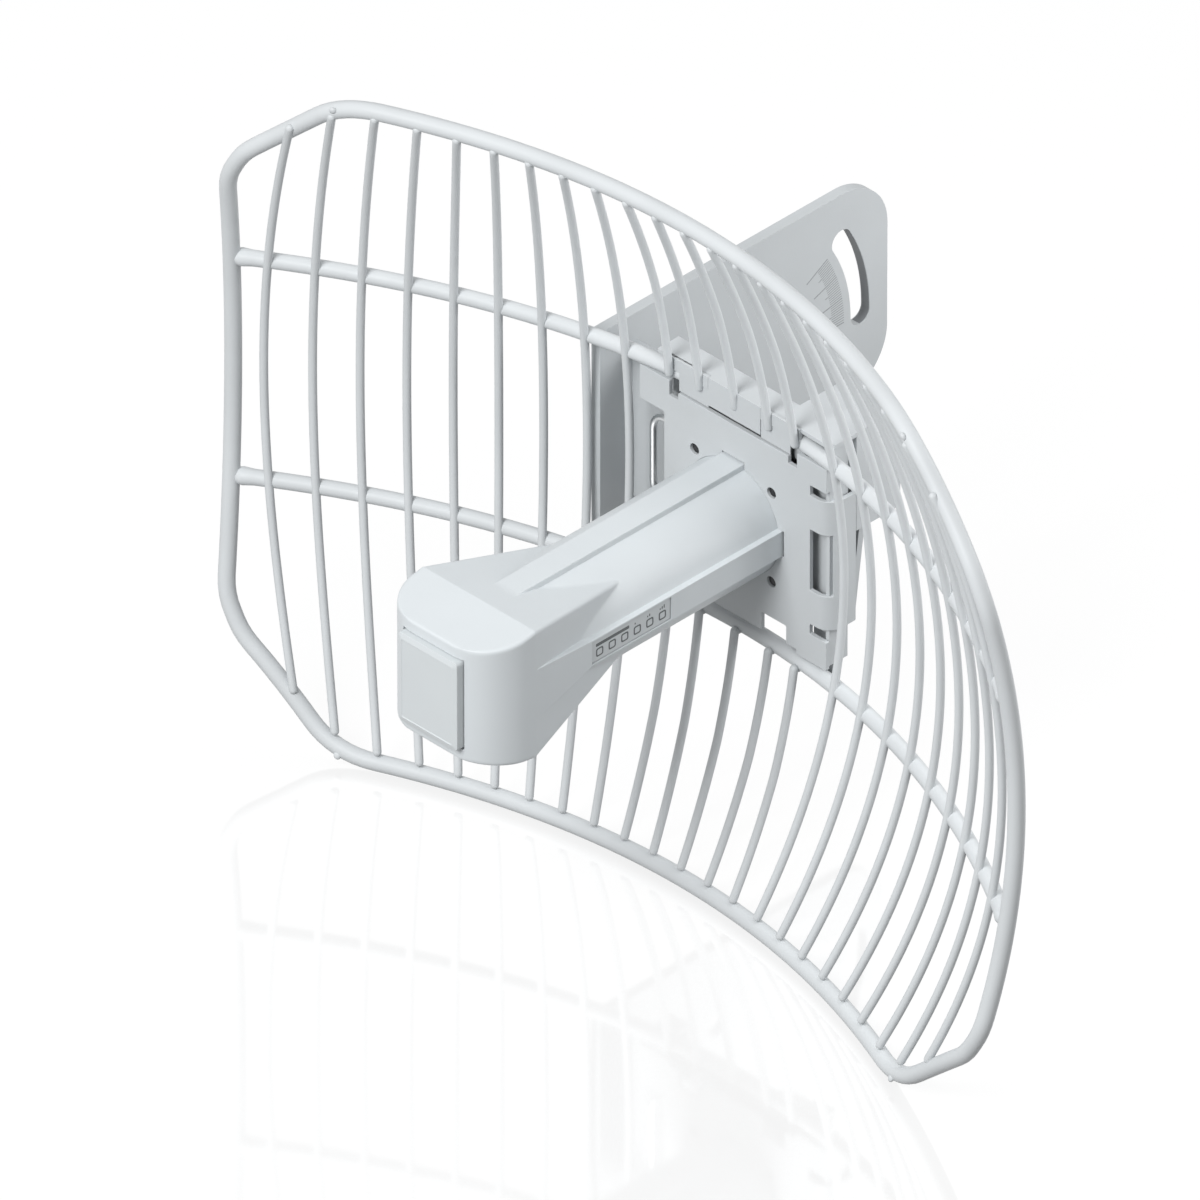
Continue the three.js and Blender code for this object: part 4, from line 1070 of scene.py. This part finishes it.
def ring_angles(y):
    """Directions all the way round, as the first quadrant mirrored in both axes."""
    first = quadrant_angles(y)
    half = first + [math.pi / 2] + [math.pi - a for a in reversed(first[1:])]
    return half + [math.pi] + [2 * math.pi - a for a in reversed(half[1:])]


def folded(angle):
    """The first-quadrant direction that mirrors this one."""
    a = angle % math.pi
    return min(a, math.pi - a)


def loft_rows():
    """Values of y along the outside, crowded where the shape changes fast."""
    rows = [HEAD_FRONT_Y + FRONT_EDGE_R * (1 - math.cos(math.pi / 2 * k / 6)) for k in range(7)]
    rows += [HEAD_FRONT_Y + HEAD_CORNER_R * (1 - math.cos(math.radians(a)))
             for a in range(24, 91, 3)]
    rows += [HEAD_BACK_Y + d for d in (-2.5, -1.5, -0.8, -0.4, -0.1, 0.2, 0.6, 1.2, 2)]
    rows += list(np.arange(-117, -64, 0.75))
    rows += list(np.arange(-62, 8, 7.0))
    rows += [RIDGE_REAR_Y - END_EDGE_R * (1 - math.sin(math.pi / 2 * k / 6)) for k in range(7)]
    rows += [RIDGE_REAR_Y + 0.15, FEED_REAR_Y - END_EDGE_R]
    rows += [FEED_REAR_Y - END_EDGE_R * (1 - math.sin(math.pi / 2 * k / 4)) for k in range(1, 5)]
    return rows


def housing_mesh():
    bm = bmesh.new()

    def ring(y, radius_at):
        return [
            bm.verts.new((
                radius_at(folded(a), y) * math.cos(a), y, radius_at(folded(a), y) * math.sin(a)))
            for a in ring_angles(y)
        ]

    def close(last, y):
        centre = bm.verts.new((0, y, 0))
        for k in range(len(last)):
            bm.faces.new((last[k], last[(k + 1) % len(last)], centre))

    outside = [ring(y, outer_radius) for y in loft_rows()]
    inside = [ring(y, inner_radius) for y in (
        FEED_REAR_Y, -40, -100, HEAD_BACK_Y - 0.9, HEAD_BACK_Y - 1.1,
        -124, -128, -131, -134, -136.5)]
    close(outside[0], HEAD_FRONT_Y)
    close(inside[-1], -136.5)
    bridge_rings(bm, outside + inside)
    return to_mesh(bm)


def led_y(i):
    return LED_FIRST_Y + i * LED_PITCH


def build_housing():
    seats = [
        block(LABEL_SEAT_X, 30, LABEL_FRONT_Y, LABEL_REAR_Y, -LABEL_HALF_HEIGHT, LABEL_HALF_HEIGHT),
        block(-13.8, 13.8, HEAD_FRONT_Y - 2, -139.2, -17.6, 17.6),
    ]
    for side in (-1, 1):
        seats.append(block(-30, -15.6, 0.9, 4.1, side * 12 - 1.6, side * 12 + 1.6))
    for i in range(LED_COUNT):
        seats.append(block(16, 21.4, led_y(i) - 1.2, led_y(i) + 1.2, -2.2, 0.2))
    housing = cut_away(housing_mesh(), seats)
    piece("feed_shell", housing, PLASTIC, stands_for=("feed_housing",), sharp=24)


def build_badge():
    """The raised front panel: a chamfered border round a plain field."""
    half_x, half_z = 13.5, 17.3
    levels = [(0.0, -139.5), (0.0, -142.9), (0.15, -143.2), (1.9, -143.72), (2.05, -143.72),
              (2.3, -143.5), (2.55, -143.5)]
    bm = bmesh.new()
    rings = []
    for inset, y in levels:
        x, z = half_x - inset, half_z - inset
        loop = fillet(rectangle(-x, x, -z, z), max(1.6 - inset / 2, 0.5), 6)
        rings.append([bm.verts.new((px, y, pz)) for px, pz in loop])
    bridge_rings(bm, rings)
    bm.faces.new(rings[0])
    bm.faces.new(rings[-1])
    piece("feed_badge", to_mesh(bm), BADGE, stands_for=("badge_panel",),
          flats=True)


def on_label(outline, holes, thickness, edge, x):
    """A thin sheet drawn in (y, z) that lies on the feed's right side, centred on x."""
    made = sheet(outline, holes, thickness, edge)
    made.transform(Matrix(((0, 0, 1, x), (1, 0, 0, 0), (0, 1, 0, 0), (0, 0, 0, 1))))
    return made


def flat_mark(outline, holes=()):
    """A printed mark on the label."""
    return on_label(outline, holes, 0.08, 0.01, LABEL_SEAT_X + GAP + LABEL_T)


def frame_outline(y, z, half, radius):
    return fillet(rectangle(y - half, y + half, z - half, z + half), radius, 4)


def build_label():
    film = rectangle(LABEL_FRONT_Y + GAP, LABEL_REAR_Y - GAP,
                     GAP - LABEL_HALF_HEIGHT, LABEL_HALF_HEIGHT - GAP)
    label = on_label(fillet(film, 0.8), [], LABEL_T, 0.12, LABEL_SEAT_X + GAP + LABEL_T / 2)
    piece("feed_label", label, LABEL, stands_for=("indicator_label",), flats=True)
    marks = []
    lights_z = -1.0
    for i in range(LED_COUNT):
        y = led_y(i)
        marks.append(flat_mark(frame_outline(y, lights_z, 1.65, 0.9),
                               [frame_outline(y, lights_z, 1.1, 0.5)]))
        for k in range(max(i - 2, 0)):
            tick_y = y - 1.2 + 0.9 * k
            marks.append(flat_mark(rectangle(tick_y, tick_y + 0.45, 1.5, 2.1 + 0.35 * k)))
    bar = rectangle(led_y(0) - 1.7, led_y(2) + 2.0, 1.4, 2.6)
    marks.append(flat_mark(fillet(bar, 0.3, 3)))
    piece("feed_label_marks", joined(marks), INK, sharp=20)


build_housing()
build_badge()
build_label()


# ---- Rear end and inside ----

COVER_R = 23.4
COVER_ROOM_R = 21.4
COVER_FRONT_Y = 11
COVER_BACK_Y = 30


def arc(centre, radius, start, end, steps=6):
    """(radius, y) points on a quarter turn, angles in degrees from the radius axis."""
    return circle(radius, centre, steps, math.radians(start), math.radians(end - start))


def build_cover():
    """The cup over the port: rounded end, grip ribs and a notch for the lead."""
    edge = 1.6
    outside = [(COVER_R - 0.3, COVER_FRONT_Y), (COVER_R, COVER_FRONT_Y + 0.3),
               (COVER_R, COVER_BACK_Y - edge)]
    outside += arc((COVER_R - edge, COVER_BACK_Y - edge), edge, 0, 90)
    inside = [(0, COVER_BACK_Y - 2), (COVER_ROOM_R - 0.8, COVER_BACK_Y - 2)]
    inside += [(COVER_ROOM_R, COVER_BACK_Y - 2.8), (COVER_ROOM_R, COVER_FRONT_Y + 0.3)]
    inside += [(COVER_ROOM_R + 0.3, COVER_FRONT_Y)]
    rim = [(17, COVER_BACK_Y), (16.6, COVER_BACK_Y - 0.35), (16.2, COVER_BACK_Y - 0.35),
           (15.8, COVER_BACK_Y), (0, COVER_BACK_Y)]
    cover = lathe([*inside, *outside, *rim], 128)
    tools = [block(-4.5, 4.5, COVER_FRONT_Y - 1, 24, -30, -12)]
    for k in range(9):
        for side in (-1, 1):
            turn = math.radians(side * (8 + 9 * (k - 4) / 2) + (0 if side > 0 else 180))
            x = math.cos(turn) * (COVER_R + 0.35)
            z = math.sin(turn) * (COVER_R + 0.35)
            groove = lathe([(0, 14), (0.7, 14.7), (0.7, 26.3), (0, 27)], 12, (x, z))
            tools.append(groove)
    for tool in tools:
        cover = cut_away(cover, [tool])
    piece("rear_cover", cover, PLASTIC, body="cover", stands_for=("port_cover",),
          sharp=32)


def build_button():
    x, z, radius = -12.5, 2, 1.6
    profile = [(0, 4), (radius - 0.2, 4), (radius, 4.2), (radius, 4.4), (2.3, 4.4), (2.4, 4.5),
               (2.4, 5.3), (2.3, 5.4), (radius, 5.4), (radius, 10.3)]
    profile += arc((radius - 0.3, 10.3), 0.3, 0, 90, 4)
    profile += [(0.6, 10.55), (0, 10.5)]
    piece("rear_button", lathe(profile, 32, (x, z)), BLACK, body="button",
          stands_for=("reset_button",))


def build_seal():
    """A soft ring with a round section between bracket and cover."""
    low, high = 9.8, 10.7
    inner, outer = 21.4, 23.3
    r = (high - low) / 2
    middle = (low + high) / 2
    section = arc((outer - r, middle), r, -90, 90, 10) + arc((inner + r, middle), r, 90, 270, 10)
    section.append(section[0])
    piece("rear_seal", merged(lathe(section, 96)), RUBBER, stands_for=("port_seal",))


def build_contacts():
    """Eight springy contacts that lie in the jack's port."""
    pins = []
    for k in range(8):
        x = (k - 3.5) * 1.02
        line = [(x, 3.5 - 0.6 * t, -1.9 + 2.6 * (t / 12) ** 1.3) for t in range(13)]
        pins.append(tube(line, 0.2, 8, cap_rings=2))
    piece("jack_contacts", joined(pins), GOLD)


SIMPLE_PARTS = {
    "network_jack": (TIN, "tinplate", 0.25),
    "rear_bulkhead": (BLACK, "black_plastic", 0.25),
    "rf_shield": (TIN, "tinplate", 0.2),
    "radio_board": (BOARD, "circuit_board", 0.08),
    "light_pipe": (RESIN, "clear_resin", 0.15),
    "dipole": (BRASS, "brass", 0.1),
    "feed_line": (BRASS, "brass", 0.1),
    "sub_reflector": (ALUMINIUM, "aluminium", 0.15),
}


def build_simple_parts():
    for node, (material, slot, width) in SIMPLE_PARTS.items():
        piece(f"{node}_fine", softened(node, width), material, stands_for=(node,),
              flats=True)


build_cover()
build_button()
build_seal()
build_contacts()
build_simple_parts()


# ---- Floor and light ----

FLOOR_HALF = 12.0
FLOOR_DROP = 0.0008
FLOOR_GLOW = 0.78
WORLD_ABOVE = 0.6
WORLD_BELOW = 0.2
WORLD_FADE = 0.35                # the world fades between these heights of its unit sphere
WING_END = (ORIGIN + Vector((WING_FACE_X, 100, 10))) * MM


def add_floor():
    """A plain pale floor with a faint polish."""
    size = FLOOR_HALF
    mesh = mesh_from(
        [(-size, -size, 0), (size, -size, 0), (size, size, 0), (-size, size, 0)], [(0, 1, 2, 3)])
    floor = placed("floor", mesh)
    floor.location.z = cad_bounds[0].z - FLOOR_DROP
    floor.visible_diffuse = False
    material, shader = new_material("floor")
    set_inputs(shader, {
        "Base Color": (0.12, 0.12, 0.12, 1), "Emission Color": (1, 1, 1, 1),
        "Emission Strength": FLOOR_GLOW, "Roughness": 0.05, "IOR": 2.4,
    })
    mesh.materials.append(material)


def add_light(name, azimuth, elevation, distance, size, radiance, target=None):
    """A soft square light that faces the middle of the object, or a target on it."""
    low, high = cad_bounds
    data = bpy.data.lights.new(name, "AREA")
    data.shape = "SQUARE"
    data.size = size
    data.energy = radiance * math.pi * size * size
    light = placed(name, data)
    look_at(light, target or (low + high) / 2, math.radians(azimuth), math.radians(elevation),
            distance)
    light.visible_camera = False


def add_world():
    """Grey light all round, brighter from above than from below."""
    world = bpy.data.worlds.new("studio")
    world.use_nodes = True
    nodes, links = world.node_tree.nodes, world.node_tree.links
    place = nodes.new("ShaderNodeTexCoord")
    split = nodes.new("ShaderNodeSeparateXYZ")
    links.new(place.outputs["Generated"], split.inputs["Vector"])
    fade = nodes.new("ShaderNodeMapRange")
    set_inputs(fade, {"From Min": -WORLD_FADE, "From Max": WORLD_FADE,
                      "To Min": WORLD_BELOW, "To Max": WORLD_ABOVE})
    links.new(split.outputs["Z"], fade.inputs["Value"])
    links.new(fade.outputs["Result"], nodes["Background"].inputs["Strength"])
    set_inputs(nodes["Background"], {"Color": (1, 1, 1, 1)})
    bpy.context.scene.world = world
    bpy.context.scene.view_settings.view_transform = "Standard"


add_floor()
add_world()
add_light("key", 5, 40, 3.0, 1.3, 15.0)
add_light("wing_panel", 109, 25, 0.32, 0.2, 5.6, WING_END)
